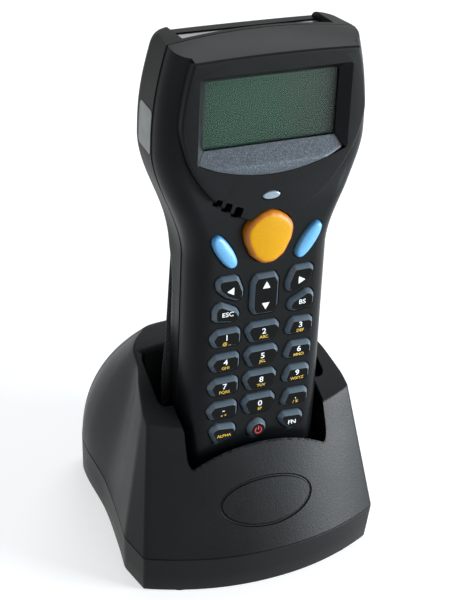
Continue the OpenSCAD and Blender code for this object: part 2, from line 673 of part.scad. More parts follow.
module power_key() color("#3a1516") docked() translate(concat(power_place, 0)) {
    translate([0, 0, flange_base]) cylinder(d = power_diameter + 2 * flange_grow, h = flange_thickness);
    translate([0, 0, flange_top - eps]) cylinder(d = power_diameter, h = -flange_top + eps);
    cylinder(d1 = power_diameter, d2 = power_diameter - 2 * key_slope, h = key_rise);
    stem([0, 0]);
}

// Hole round each key, wider under the shell's wall so that its flange has room.
module key_holes() {
    deep = -shell_wall - 4;
    wide = flange_grow + key_gap;
    top = -shell_wall - 0.05;
    through = [[deep, wide], [top, wide], [top, key_gap], [panel_rise + 3, key_gap]];
    for (row = key_table) stepped(row[1], row[2], through);
    for (half = rocker_halves) stepped(half, corner_edit, through);
    translate(concat(power_place, 0)) {
        translate([0, 0, deep]) cylinder(d = power_diameter + 2 * wide, h = top - deep);
        translate([0, 0, deep]) cylinder(d = power_diameter + 2 * key_gap, h = 12);
    }
}

// ---------- front shell ----------
led_place = [0, 117.3];
led_size = [6.5, 2.7];
slot_places = [[-19.3, 116.6], [-15.9, 114.6], [-12.1, 112.4]];
slot_size = [1.9, 3];
head_screws = [for (x = [1, -1]) [x * (head_width / 2 - 15.5), cheek - 10.2]];
neck_screws = [for (x = [1, -1]) [x * (handle_width / 2 - 5.4), cover_top - 6.3]];
end_screws = [for (x = [1, -1]) [x * (handle_width / 2 - 8.6), end_radius + 1.5]];
bay_screws = concat(neck_screws, end_screws);
all_screws = concat(head_screws, bay_screws);
boss_diameter = 5.4;
head_boss = screw_head + 3.4;
boss_clearance = 1;
boss_tip = -5.8;
function led_outline(grow) = [for (a = [0:24:336]) led_place
    + [(led_size[0] / 2 + grow) * cos(a), (led_size[1] / 2 + grow) * sin(a)]];

// Hollow of the front shell, less what stands in it: the screw bosses, the
// rim behind the screen and the web behind the top.
module front_space() {
    difference() {
        front_hollow();
        for (p = all_screws) translate([p[0], p[1], -front_depth - overrun])
            cylinder(d = boss_diameter, h = front_depth + overrun);
        head_rim();
        block([-scan_recess - 2, scan_shelf - shelf_thickness, -front_depth - overrun],
            [scan_recess + 2, body_length + top_crown + 1, -front_depth + shell_wall]);
    }
}

module front_shell() color(tint_black) docked() difference() {
    union() {
        front_form();
        head_panel();
    }
    above_rake();
    front_space();
    key_holes();
    screen_well();
    lens_seat();
    for (p = all_screws) translate([p[0], p[1], -front_depth - 1])
        cylinder(d = screw_diameter - 0.5, h = front_depth - 4);
    translate([0, 0, -6]) linear_extrude(12) polygon(led_outline(0.1));
    for (i = [0:2]) translate(concat(slot_places[i], -6)) rotate([0, 0, -20]) linear_extrude(12)
        square(slot_size * (0.8 + 0.2 * i), center = true);
    for (x = contact_places) block([x - 1.4, -1, -contact_depth - 1.4], [x + 1.4, 4, -contact_depth + 1.4]);
    block([ir_place - ir_width / 2, -1, -contact_depth - ir_height / 2],
        [ir_place + ir_width / 2, 4, -contact_depth + ir_height / 2]);
}

// Wall behind the screen's rebate that closes the thick part of the panel.
module head_rim() {
    difference() {
        translate(concat(glass_middle, -shell_wall - head_dip - 1.2)) linear_extrude(2.5)
            square([glass_width + 9, glass_height + 9], center = true);
        translate(concat(glass_middle, -10)) linear_extrude(20) square([glass_width, glass_height], center = true);
    }
}

module led_lens() color("#8fa3b3") docked()
    translate([0, 0, -3.6]) linear_extrude(3.6 + panel_rise + 0.3) polygon(led_outline(0));

module terminal_contacts() color("gold") docked() for (x = contact_places)
    block([x - 1.3, 0.2, -contact_depth - 1.3], [x + 1.3, 3, -contact_depth + 1.3]);

module terminal_ir_window() color("#3b0d12") docked()
    block([ir_place - ir_width / 2 + 0.1, 0.1, -contact_depth - ir_height / 2 + 0.1],
        [ir_place + ir_width / 2 - 0.1, 1.9, -contact_depth + ir_height / 2 - 0.1]);

// ---------- rear shell ----------
bay_floor = 14.2;
bay_floor_thickness = 1.6;
scan_recess = 27.3;
scan_rim = body_length - 1.3;
scan_shelf = scan_rim - 1.65;
shelf_thickness = 3.2;
rim_thickness = 4.2;
// Rim between the parting line and the window.
scan_lip = 2.2;
window_depth = top_depth - rim_thickness;
window_wall = 1.2;
beam_half = 21;
beam_margin = 2.5;
beam_ledge = 1;
head_seat = -17;
cover_wall = 1.8;

module bay_box(grow, top) {
    block([-handle_width, -1, -head_depth - 5], [handle_width, top + grow, -seam_depth + grow]);
}

// Hollow of the rear shell, less what stands in it: the floor and end wall of
// the battery bay, the screw bosses and the shelf under the scan window.
module rear_space() {
    bay_end = cover_top + 2;
    difference() {
        rear_hollow();
        block([-handle_width, 0, -bay_floor - bay_floor_thickness], [handle_width, bay_end, -bay_floor]);
        block([-handle_width, cover_top, -head_depth], [handle_width, bay_end, -bay_floor - eps]);
        for (p = head_screws) translate([p[0], p[1], -head_depth])
            cylinder(d = head_boss, h = head_depth + rear_base);
        for (p = bay_screws) translate([p[0], p[1], -bay_floor - eps])
            cylinder(d = boss_diameter, h = bay_floor + eps + rear_base);
        block([-scan_recess - 2, scan_shelf - shelf_thickness, -head_depth],
            [scan_recess + 2, body_length + top_crown + 1, rear_base]);
    }
}

module rear_shell() color(tint_charcoal) docked() difference() {
    rear_form();
    rear_space();
    bay_box(0, cover_top);
    for (p = head_screws) translate([p[0], p[1], -head_depth - 1]) {
        cylinder(d = screw_diameter + 0.4, h = head_depth + 1);
        cylinder(d = screw_head + 0.4, h = head_depth + 1 + head_seat);
    }
    for (p = bay_screws) translate([p[0], p[1], -head_depth]) cylinder(d = screw_diameter + 0.4, h = head_depth);
    block([-scan_recess, scan_shelf, -window_depth], [scan_recess, body_length + 8, rear_base - scan_lip]);
    block([-scan_recess, scan_rim, -head_depth], [scan_recess, body_length + 8, rear_base - scan_lip]);
    block([-beam_half, scan_shelf - shelf_thickness - 1, -window_depth + beam_margin],
        [beam_half, body_length, rear_base - scan_lip - beam_ledge]);
}

module scan_window() color([0.8, 0.82, 0.84, 0.6]) docked()
    block([-scan_recess + 0.2, scan_shelf + 0.05, -window_depth + 0.2],
        [scan_recess - 0.2, scan_shelf + 0.05 + window_wall, rear_base - scan_lip - 0.2]);

engine_size = [24, 17, 13.5];
engine_low = body_length - 29.6;
engine_wall = 2.5;
engine_front = -front_depth - 1.6;
engine_mouth = 3;
module scan_engine() color("#4a4d50") docked() {
    half = engine_size[0] / 2;
    high = engine_low + engine_size[1];
    rear = engine_front - engine_size[2];
    difference() {
        block([-half, engine_low, rear], [half, high, engine_front]);
        block([-half + engine_wall, high - engine_mouth, rear + engine_wall],
            [half - engine_wall, high + 1, engine_front - engine_wall]);
    }
}

module case_gasket() color("#0f1011") docked() translate([0, 0, rear_base + 0.05])
    linear_extrude(gasket_thickness - 0.1) difference() {
        polygon(rim_outline(0.4));
        polygon(rim_outline(shell_wall - 0.1));
    }
rim_stations = concat([0.3, 1.2, 2.5, 4], middle_stations, [body_length - 5]);
function rim_outline(t) = let (
    right = [for (v = rim_stations) [half_width(v) - t, max(v, t)]],
    top = [for (k = [8:-1:-8]) let (u = (top_width / 2 - t) * k / 8) [u, body_length - t + crown(u, body_length)]])
    concat(right, top, mirrored(right));

module case_screws() color("silver") docked() {
    for (p = head_screws) translate([p[0], p[1], head_seat - 1.8]) {
        cylinder(d = screw_head, h = 1.8);
        cylinder(d = screw_diameter - 0.5, h = 1.8 - head_seat + boss_tip);
    }
    for (p = bay_screws) translate([p[0], p[1], -bay_floor - bay_floor_thickness - 1.5]) {
        cylinder(d = screw_head, h = 1.5);
        cylinder(d = screw_diameter - 0.5, h = 1.5 + bay_floor + bay_floor_thickness + boss_tip);
    }
}

// ---------- inside the terminal ----------
mat_top = stem_base - key_travel - seat_gap;
mat_thickness = 0.8;
board_top = mat_top - mat_thickness - 0.1;
board_half = 21.5;
board_low = 10;
board_high = 109;
module around_bosses() {
    difference() {
        children();
        for (p = bay_screws) translate([p[0], p[1], -head_depth])
            cylinder(d = boss_diameter + boss_clearance, h = head_depth);
        for (p = head_screws) translate([p[0], p[1], -head_depth])
            cylinder(d = head_boss + boss_clearance, h = head_depth);
    }
}

module keypad_mat() color("#3c4144") docked() around_bosses()
    block([-board_half, board_low, mat_top - mat_thickness], [board_half, board_high, mat_top]);

module key_domes() color("silver") docked() {
    spots = concat([for (row = key_table) centre(row[1])], [power_place],
        [for (y = [-4, 4]) rocker_place + [0, y]]);
    for (p = spots) translate([p[0], p[1], mat_top]) cylinder(d1 = 4.4, d2 = 2.6, h = seat_gap - 0.1);
}

upper_board_half = 24;
upper_board_high = body_length - 7.6;
upper_board_top = -front_depth + 0.2;
riser_half = 10;
riser_length = 4;
module main_board() color("#1f5a38") docked() around_bosses() {
    block([-board_half, board_low, board_top - board_thickness], [board_half, board_high, board_top]);
    block([-upper_board_half, board_high - riser_length - 2, upper_board_top - board_thickness],
        [upper_board_half, upper_board_high, upper_board_top]);
    block([-riser_half, board_high - riser_length - 1, upper_board_top - 0.1],
        [riser_half, board_high - 1, board_top - board_thickness + 0.1]);
}

buzzer_place = [-15.5, 117.5];
buzzer_diameter = 10;
buzzer_height = 6.2;
module buzzer() color("#17191a") docked() translate(concat(buzzer_place, upper_board_top + 0.1))
    cylinder(d = buzzer_diameter, h = buzzer_height);

battery_base = 9;
battery_corner = 6;
battery_top = -bay_floor - bay_floor_thickness - 0.1;
battery_rear = -handle_depth + cover_wall + seat_gap;
module battery_pack() color("#2f4a63") docked() translate([0, battery_base + battery_length, 0])
    rotate([90, 0, 0]) linear_extrude(battery_length)
        let (half = battery_width / 2, c = battery_corner, r = [c, c])
            polygon(concat([[-half, battery_top]], arc([-half + c, battery_rear + c], r, 180, 270, arc_steps),
                arc([half - c, battery_rear + c], r, 270, 360, arc_steps), [[half, battery_top]]));

contact_half = 1.5;
module battery_contacts() color("gold") docked() for (x = [-8, 0, 8])
    block([x - contact_half, battery_base + battery_length + 0.1, battery_top - 6],
        [x + contact_half, battery_base + battery_length + 3, battery_top + 0.05]);

latch_half = 6;
latch_low = cover_top - 11;
latch_length = 6;
latch_seat = 1;
latch_ribs = 3;
rib_pitch = 1.7;
rib_width = 0.8;
tail_half = 2;
tail_low = latch_low + latch_travel + 0.2;
tail_high = tail_low + 1.2;
cover_inside = -handle_depth + cover_wall;
tail_height = 2.4;
spring_diameter = 1.6;
spring_wire = 0.3;
spring_low = latch_low - 2;
module battery_cover() color(tint_charcoal) docked() {
    difference() {
        intersection() { rear_form(); bay_box(-cover_gap, cover_top); }
        intersection() { rear_hollow(); bay_box(1, cover_top - cover_wall); }
        block([-latch_half - 0.2, latch_low - latch_travel - 0.2, -handle_depth - 1],
            [latch_half + 0.2, latch_low + latch_length + 0.2, -handle_depth + latch_seat]);
        block([-tail_half - 0.2, latch_low, -handle_depth - 1],
            [tail_half + 0.2, tail_high + 0.2, -handle_depth + 4]);
    }
    block([-tail_half, spring_low - 1.3, cover_inside - 0.1],
        [tail_half, spring_low - 0.1, cover_inside + tail_height]);
}

module battery_latch() color("#1c1e1f") docked() {
    block([-latch_half, latch_low, -handle_depth - 0.6],
        [latch_half, latch_low + latch_length, -handle_depth + latch_seat - 0.15]);
    for (k = [0:latch_ribs - 1]) let (low = latch_low + 1 + k * rib_pitch)
        block([-latch_half + 1, low, -handle_depth - 1], [latch_half - 1, low + rib_width, -handle_depth]);
    block([-tail_half, tail_low, -handle_depth], [tail_half, tail_high, cover_inside + tail_height]);
}

// Coil spring under the latch's tail, drawn as the tube that its turns fill.
module latch_spring() color("silver") docked()
    translate([0, spring_low, cover_inside + seat_gap + spring_diameter / 2]) rotate([-90, 0, 0]) difference() {
        cylinder(d = spring_diameter, h = tail_low - 0.1 - spring_low);
        translate([0, 0, -1]) cylinder(d = spring_diameter - 2 * spring_wire, h = 10);
    }

// ---------- strap ----------
strap_low = 4;
strap_bend = 50;
strap_high = 106;
strap_rise = 7;
strap_path = [strap_low, 25, 40, strap_bend, 62, 73, 84, 95, strap_high];
function strap_half(v) = lerp(strap_width, strap_top_width, clamp01((v - 40) / (strap_high - 40))) / 2;
function strap_level(v) = -strap_back + strap_thickness / 2
    - strap_rise * clamp01((v - strap_bend) / (strap_high - strap_bend));
module hand_strap() color("#1a1b1c") docked()
    loft([for (v = strap_path) let (h = strap_half(v), z = strap_level(v), t = strap_thickness / 2)
        [[-h, v, z - t], [-h, v, z + t], [h, v, z + t], [h, v, z - t]]]);

anchor_length = 5;
anchor_foot = 0.6;
anchor_chamfer = 1;
module strap_anchors() color(tint_black) docked() {
    low_half = strap_width / 2;
    high_half = strap_top_width / 2;
    block([-low_half, anchor_foot, -strap_back], [low_half, strap_low - 0.1, -handle_depth - 0.05]);
    outer = strap_level(strap_high) - strap_thickness / 2 - 0.4;
    loft([for (v = [strap_high + 0.1, strap_high + anchor_length / 2, strap_high + anchor_length])
        let (inner = rear_level(v) - 0.15, c = v > strap_high + 1 && v < strap_high + 4 ? 0 : anchor_chamfer)
        [[-high_half, v, outer + c + 0.6], [-high_half, v, inner], [high_half, v, inner],
            [high_half, v, outer + c + 0.6], [high_half - 1.5, v, outer + c], [-high_half + 1.5, v, outer + c]]]);
}

label_low = cheek - 2.7;
label_high = cheek + 12.3;
label_steps = 6;
label_thickness = 0.12;
label_gap = 0.09;
label_margin = 0.6;
// Side wall of the rear shell at distance v, at its top (side 0) or where its rear edge starts (side 1).
function wall_point(v, side) = side == 0 ? [-half_width(v), rear_base]
    : [-half_width(v) + rear_run(v, 0, rear_base), rear_level(v) + rear_radius];
module side_label() color("#c9ccd0") docked() {
    loft([for (k = [0:label_steps]) let (v = lerp(label_low, label_high, k / label_steps),
        high = wall_point(v, 0), low = wall_point(v, 1), along = (low - high) / norm(low - high),
        out = [along[1], -along[0]], a = high + label_margin * along, b = low - label_margin * along)
        [for (p = [a + (label_thickness + label_gap) * out, a + label_gap * out, b + label_gap * out,
            b + (label_thickness + label_gap) * out]) [p[0], v, p[1]]]]);
}

// ---------- what each name draws ----------
cradle_tray();
cradle_housing();
cradle_feet();
cradle_screws();
ballast_plate();
cradle_board();
pin_holder();
charging_pins();
cradle_ir_window();
dc_jack();
data_socket();
front_shell();
rear_shell();
case_gasket();
case_screws();
screen_window();
lcd_module();
lens_panel();
led_lens();
buzzer();
keypad_mat();
key_domes();
main_board();
scan_window();
scan_engine();
terminal_ir_window();
terminal_contacts();
battery_pack();
battery_contacts();
battery_cover();
battery_latch();
latch_spring();
hand_strap();
strap_anchors();
side_label();
key("scan_key", "#f5a800", scan_profile);  // scan_key
key("left_side_key", "#6fb6e8", side_profile);  // left_side_key
key("right_side_key", "#6fb6e8", side_profile);  // right_side_key
key("arrow_left_key", tint_black, key_profile);  // arrow_left_key
key("arrow_right_key", tint_black, key_profile);  // arrow_right_key
up_down_key();
key("escape_key", tint_black, key_profile);  // escape_key
key("backspace_key", tint_black, key_profile);  // backspace_key
key("alpha_key", tint_black, key_profile);  // alpha_key
key("function_key", tint_black, key_profile);  // function_key
power_key();
for (name = digit_keys) key(name, tint_black, key_profile);
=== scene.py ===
"""Portable barcode data terminal standing in its charging cradle, dressed for rendering.

Sizes are millimetres in the terminal's or the cradle's own axes. The terminal's axes are
u across, v up its length from the bottom end and w out of its key face.
"""
from __future__ import annotations

import json
import logging
import math
from dataclasses import dataclass, field
from enum import Enum
from typing import Callable, Sequence

import bmesh
import bpy
import numpy as np
from mathutils import Euler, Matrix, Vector

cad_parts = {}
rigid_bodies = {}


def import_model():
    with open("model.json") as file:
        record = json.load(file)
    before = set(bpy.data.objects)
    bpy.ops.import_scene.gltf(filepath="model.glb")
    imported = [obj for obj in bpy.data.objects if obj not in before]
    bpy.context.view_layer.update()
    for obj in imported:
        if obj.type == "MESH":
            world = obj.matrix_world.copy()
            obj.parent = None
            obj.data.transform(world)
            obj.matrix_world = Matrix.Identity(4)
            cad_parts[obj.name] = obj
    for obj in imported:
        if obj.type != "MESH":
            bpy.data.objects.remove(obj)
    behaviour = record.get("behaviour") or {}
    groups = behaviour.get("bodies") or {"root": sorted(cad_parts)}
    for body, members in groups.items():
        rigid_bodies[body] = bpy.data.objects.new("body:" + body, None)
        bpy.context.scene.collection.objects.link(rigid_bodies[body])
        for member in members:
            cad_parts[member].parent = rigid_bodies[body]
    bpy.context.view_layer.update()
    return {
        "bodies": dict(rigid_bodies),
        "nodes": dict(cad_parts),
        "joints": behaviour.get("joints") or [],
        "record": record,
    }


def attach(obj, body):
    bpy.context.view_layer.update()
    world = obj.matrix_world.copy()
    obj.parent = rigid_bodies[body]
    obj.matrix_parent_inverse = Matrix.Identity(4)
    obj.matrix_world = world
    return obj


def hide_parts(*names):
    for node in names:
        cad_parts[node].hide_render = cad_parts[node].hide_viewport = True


log = logging.getLogger("terminal")
MM = 0.001
Array = np.ndarray
Tree = bpy.types.NodeTree
Object = bpy.types.Object
Material = bpy.types.Material


# ---------- arithmetic ----------
def smooth(t: Array | float) -> Array:
    """Smooth step of t, flat at 0 and at 1."""
    c = np.clip(t, 0.0, 1.0)
    return c * c * (3 - 2 * c)


def fade(v: Array | float, start: float, end: float) -> Array:
    """Smooth step from 0 at start to 1 at end."""
    return smooth((v - start) / (end - start))


def lerp(a: Array | float, b: Array | float, t: Array | float) -> Array:
    """Straight blend from a to b."""
    return a + (b - a) * t


def round_drop(d: Array | float, r: float) -> Array:
    """Drop of a quarter-round edge of radius r at distance d from where it starts."""
    c = np.clip(d, 0.0, r)
    return r - np.sqrt(np.maximum(r * r - c * c, 0.0))


def rounded(corners: Array, r: float, n: int = 8) -> Array:
    """Outline of equal circles of radius r on the corners of a convex polygon.

    Args:
        corners: anticlockwise corners, (m, 2).
        r: radius of the circles.
        n: steps in each corner's arc.
    Returns:
        The outline's points, (m * (n + 1), 2).
    """
    before, after = np.roll(corners, 1, axis=0), np.roll(corners, -1, axis=0)
    start = np.arctan2(*(corners - before).T[::-1]) - math.pi / 2
    end = np.arctan2(*(after - corners).T[::-1]) - math.pi / 2
    turn = np.mod(end - start, 2 * math.pi)
    angle = start[:, None] + turn[:, None] * np.linspace(0, 1, n + 1)
    ring = corners[:, None, :] + r * np.stack([np.cos(angle), np.sin(angle)], axis=-1)
    return ring.reshape(-1, 2)


def box_corners(left: float, right: float, low: float, high: float, r: float = 0) -> Array:
    """Anticlockwise corners of a box, each moved inwards by r."""
    left, right, low, high = left + r, right - r, low + r, high - r
    return np.array([[left, low], [right, low], [right, high], [left, high]], float)


def mirrored(half: Array) -> Array:
    """Closed outline from its right half, whose first and last points lie on the axis of symmetry."""
    return np.concatenate([half, (half * np.array([-1.0, 1.0]))[..., -2:0:-1, :]], axis=-2)


def mitred(corners: Array, d: float) -> Array:
    """Convex anticlockwise polygon with every side moved inwards by d."""
    along = np.roll(corners, -1, axis=0) - corners
    out = np.stack([along[:, 1], -along[:, 0]], axis=1) / np.linalg.norm(along, axis=1)[:, None]
    before = np.roll(out, 1, axis=0)
    return corners - d * (before + out) / (1 + (before * out).sum(axis=1))[:, None]


def resampled(points: Array, count: int, closed: bool = True) -> Array:
    """Points at equal steps along a polyline.

    Args:
        points: the polyline, (n, 2) or (n, 3).
        count: number of points wanted.
        closed: whether the last point joins the first.
    Returns:
        The new points, (count, 2) or (count, 3).
    """
    line = np.vstack([points, points[:1]]) if closed else points
    run = np.concatenate([[0.0], np.cumsum(np.linalg.norm(np.diff(line, axis=0), axis=1))])
    at = np.linspace(0, run[-1], count + 1)[:-1] if closed else np.linspace(0, run[-1], count)
    return np.stack([np.interp(at, run, line[:, k]) for k in range(line.shape[1])], axis=1)


def inset(points: Array, d: float) -> Array:
    """Closed anticlockwise outline moved inwards by d along its corners' normals."""
    along = np.roll(points, -1, axis=0) - np.roll(points, 1, axis=0)
    normal = np.stack([-along[:, 1], along[:, 0]], axis=1)
    return points + d * normal / np.linalg.norm(along, axis=1)[:, None]


# ---------- meshes ----------
LEAN = math.radians(5)
DOCK = np.array([0.0, -27.15, 28.0])
ALONG = np.array([0.0, math.sin(LEAN), math.cos(LEAN)])
OUTWARD = np.array([0.0, -math.cos(LEAN), math.sin(LEAN)])


def docked(points: Array) -> Array:
    """Points from the terminal's axes to the frame: dock + u across + v along + w outward."""
    p = np.asarray(points, float)
    return DOCK + p[..., :1] * np.array([1.0, 0, 0]) + p[..., 1:2] * ALONG + p[..., 2:3] * OUTWARD


def new_mesh(name: str, points: Array, faces: Sequence[Sequence[int]], turn: bool = True) -> Object:
    """Adds a mesh object at the origin.

    Args:
        name: the piece's name.
        points: vertices in millimetres, (n, 3).
        faces: vertex indices of each face.
        turn: whether the normals are worked out again so that they point outwards.
    Returns:
        The object.
    """
    mesh = bpy.data.meshes.new(name)
    mesh.from_pydata((np.asarray(points, float) * MM).tolist(), [], [list(f) for f in faces])
    if turn:
        work = bmesh.new()
        work.from_mesh(mesh)
        bmesh.ops.recalc_face_normals(work, faces=work.faces)
        work.to_mesh(mesh)
        work.free()
    mesh.update()
    obj = bpy.data.objects.new(name, mesh)
    bpy.context.scene.collection.objects.link(obj)
    return obj


def grid_faces(rows: int, columns: int) -> list[list[int]]:
    """Quads between the neighbouring points of a grid whose columns close into rings."""
    i, j = np.meshgrid(np.arange(rows - 1), np.arange(columns), indexing="ij")
    k = (j + 1) % columns
    low, high = i * columns, (i + 1) * columns
    return np.stack([low + j, low + k, high + k, high + j], axis=-1).reshape(-1, 4).tolist()


def loft(name: str, rings: Array) -> Object:
    """Closed solid through rings of the same number of points, its first and last ring filled."""
    rows, columns = rings.shape[:2]
    faces = grid_faces(rows, columns)
    faces += [list(range(columns))[::-1], [(rows - 1) * columns + k for k in range(columns)]]
    return new_mesh(name, rings.reshape(-1, 3), faces)


def levels(outline: Callable[[float], Array], profile: Sequence[tuple[float, float]]) -> Array:
    """Rings of one outline at each (height, growth) of a profile, in the terminal's axes."""
    return np.array([np.insert(outline(grow), 2, height, axis=1) for height, grow in profile])


def prism(name: str, outline: Callable[[float], Array], profile: Sequence[tuple[float, float]]) -> Object:
    """Solid of one outline at each (height, growth) of a profile, in the terminal's axes."""
    return loft(name, docked(levels(outline, profile)))


class Cut(Enum):
    """The three ways in which two solids combine."""

    LESS = "DIFFERENCE"
    PLUS = "UNION"
    COMMON = "INTERSECT"


def combine(base: Object, how: Cut, *tools: Object) -> Object:
    """Combines closed solids and removes the tools; the result stays in base."""
    for tool in tools:
        modifier = base.modifiers.new(how.value.lower(), "BOOLEAN")
        modifier.operation, modifier.solver, modifier.object = how.value, "MANIFOLD", tool
        evaluated = base.evaluated_get(bpy.context.evaluated_depsgraph_get())
        mesh = bpy.data.meshes.new_from_object(evaluated)
        base.modifiers.clear()
        old, base.data = base.data, mesh
        bpy.data.meshes.remove(old)
        bpy.data.objects.remove(tool)
    base.data.materials.clear()
    if not base.data.polygons:
        raise RuntimeError(f"{base.name}: nothing is left of the solid")
    return base


def soften(obj: Object, degrees: float = 32) -> Object:
    """Shades smooth, with an edge left sharp where its faces meet at more than the given angle."""
    obj.data.shade_smooth()
    obj.data.set_sharp_from_angle(angle=math.radians(degrees))
    return obj


def block(name: str, low: Sequence[float], high: Sequence[float]) -> Object:
    """Box between two corners in the terminal's axes, used as a cutting tool."""
    base = box_corners(low[0], high[0], low[1], high[1])
    return prism(name, lambda _: base, [(low[2], 0), (high[2], 0)])


def rectangle(u: float, low: float, high: float, r: float) -> Callable[[float], Array]:
    """Outline of a rounded rectangle from -u to u and low to high, as a function of its growth."""
    return lambda grow: rounded(box_corners(-u, u, low, high, r), r + grow)


def ellipse(a: float, b: float, n: int) -> Array:
    """Points of an ellipse round the origin, with half widths a and b."""
    turn = np.linspace(0, 2 * math.pi, n, endpoint=False)
    return np.column_stack([a * np.cos(turn), b * np.sin(turn)])


def circle(x: float, y: float, r: float, n: int = 48) -> Callable[[float], Array]:
    """Outline of a circle as a function of its growth."""
    return lambda grow: np.array([x, y]) + ellipse(r + grow, r + grow, n)


# ---------- finishes ----------
def linear(code: str) -> tuple[float, float, float, float]:
    """Linear colour with alpha from an sRGB hex code."""
    parts = [int(code[k:k + 2], 16) / 255 for k in (1, 3, 5)]
    return tuple(c / 12.92 if c <= 0.04045 else ((c + 0.055) / 1.055) ** 2.4 for c in parts) + (1.0,)


def add(tree: Tree, kind: str, settings: dict | None = None, **links: object) -> bpy.types.Node:
    """Adds a shader node.

    Args:
        tree: the material's node tree.
        kind: the node's type name.
        settings: attributes to set on the node.
        **links: input names, underscores for spaces, each with a value or an output socket.
    Returns:
        The node.
    """
    node = tree.nodes.new(kind)
    for name, value in (settings or {}).items():
        setattr(node, name, value)
    wire(tree, node, **links)
    return node


def wire(tree: Tree, node: bpy.types.Node, **links: object) -> None:
    """Sets or links inputs of a node, named with underscores for spaces or numbered after one."""
    for name, value in links.items():
        target = node.inputs[int(name[1:])] if name[1:].isdigit() else node.inputs[name.replace("_", " ")]
        if isinstance(value, bpy.types.NodeSocket):
            tree.links.new(value, target)
        else:
            target.default_value = value


def maths(tree: Tree, operation: str, *values: object) -> object:
    """Math node over values or sockets; returns its output."""
    links = {f"_{k}": value for k, value in enumerate(values)}
    return add(tree, "ShaderNodeMath", {"operation": operation}, **links).outputs[0]


def ramp(tree: Tree, factor: object, stops: Sequence[tuple[float, str]]) -> object:
    """Colour ramp over hex stops; returns its colour output."""
    node = add(tree, "ShaderNodeValToRGB", None, Fac=factor)
    for element, (place, code) in zip(node.color_ramp.elements, (stops[0], stops[-1])):
        element.position, element.color = place, linear(code)
    for place, code in stops[1:-1]:
        node.color_ramp.elements.new(place).color = linear(code)
    return node.outputs["Color"]


def span(tree: Tree, value: object, low: float, high: float, start: float = 0.3, end: float = 0.7) -> object:
    """Maps a pattern's value from start..end to low..high; returns the output."""
    return add(tree, "ShaderNodeMapRange", None, Value=value, From_Min=start, From_Max=end,
               To_Min=low, To_Max=high).outputs["Result"]


def noise(tree: Tree, size_mm: float, detail: float = 2.0) -> object:
    """Noise whose lumps are about size_mm across on Object coordinates; returns its value."""
    source = add(tree, "ShaderNodeTexCoord").outputs["Object"]
    return add(tree, "ShaderNodeTexNoise", None, Vector=source, Scale=1 / (size_mm * MM),
               Detail=detail, Roughness=0.55).outputs["Fac"]


def relief(tree: Tree, height: object, depth_mm: float, strength: float = 1.0) -> object:
    """Bump of a real depth; returns the normal."""
    return add(tree, "ShaderNodeBump", None, Strength=strength, Distance=depth_mm * MM,
               Height=height).outputs["Normal"]


def material(name: str) -> tuple[Material, Tree, bpy.types.Node]:
    """A new material with its tree and its Principled shader."""
    made = bpy.data.materials.new(name)
    made.use_nodes = True
    return made, made.node_tree, made.node_tree.nodes["Principled BSDF"]


@dataclass(frozen=True)
class MouldedPlastic:
    """ABS moulded in a spark-eroded tool: a fine even grain that breaks the highlights up."""

    name: str
    dark: str
    light: str
    roughness: float = 0.42
    grain_mm: float = 0.45
    grain_depth_mm: float = 0.02
    specular: float = 0.5
    coat: float = 0.0

    def build(self) -> Material:
        """Grain as bump, slow colour drift over about 25 mm and rubbed patches in the roughness."""
        made, tree, shader = material(self.name)
        grain = noise(tree, self.grain_mm, 2.0)
        drift = noise(tree, 25.0, 2.0)
        both = maths(tree, "MULTIPLY_ADD", drift, 0.55, maths(tree, "MULTIPLY", grain, 0.45))
        wire(tree, shader, Base_Color=ramp(tree, both, [(0.38, self.dark), (0.62, self.light)]),
             Roughness=span(tree, both, self.roughness - 0.05, self.roughness + 0.05),
             Normal=relief(tree, grain, self.grain_depth_mm), IOR=1.53,
             Specular_IOR_Level=self.specular, Coat_Weight=self.coat, Coat_Roughness=0.25)
        return made


@dataclass(frozen=True)
class Metal:
    """Bare or plated metal: bright, with faint drawn lines or a cast surface."""

    name: str
    dark: str
    light: str
    roughness: float = 0.28
    line_mm: float = 0.5

    def build(self) -> Material:
        """Fine lumps in colour and roughness over a metallic base."""
        made, tree, shader = material(self.name)
        fine = noise(tree, self.line_mm, 3.0)
        wire(tree, shader, Base_Color=ramp(tree, fine, [(0.35, self.dark), (0.65, self.light)]), Metallic=1.0,
             Roughness=span(tree, fine, self.roughness - 0.06, self.roughness + 0.08),
             Normal=relief(tree, fine, 0.01))
        return made


@dataclass(frozen=True)
class ClearPlastic:
    """Cast acrylic under an anti-glare film: clear, with reflections much weaker than bare acrylic's."""

    name: str
    tint: str
    roughness: float = 0.005
    haze_mm: float = 4.0

    def build(self) -> Material:
        """Transmissive shader with a slow change of gloss."""
        made, tree, shader = material(self.name)
        gloss = span(tree, noise(tree, self.haze_mm, 1.0), self.roughness, self.roughness + 0.005)
        wire(tree, shader, Base_Color=linear(self.tint), Roughness=gloss, IOR=1.15, Transmission_Weight=1.0)
        return made


@dataclass(frozen=True)
class SpeckledPaint:
    """Metallic lacquer over plastic: pale flakes in a gray film under a satin coat."""

    name: str
    dark: str
    mid: str
    flake: str
    flake_mm: float = 0.2

    def build(self) -> Material:
        """Flakes from small random cells, drawn a little coarser than real ones so that they show."""
        made, tree, shader = material(self.name)
        coord = add(tree, "ShaderNodeTexCoord").outputs["Object"]
        cells = add(tree, "ShaderNodeTexVoronoi", None, Vector=coord, Scale=1 / (self.flake_mm * MM))
        value = add(tree, "ShaderNodeSeparateColor", None, Color=cells.outputs["Color"]).outputs["Red"]
        colour = ramp(tree, value, [(0.0, self.dark), (0.6, self.mid), (0.97, self.flake)])
        wire(tree, shader, Base_Color=colour, Roughness=span(tree, value, 0.3, 0.5, 0.0, 1.0), Metallic=0.45,
             Normal=relief(tree, value, 0.003), Coat_Weight=0.3, Coat_Roughness=0.2)
        return made


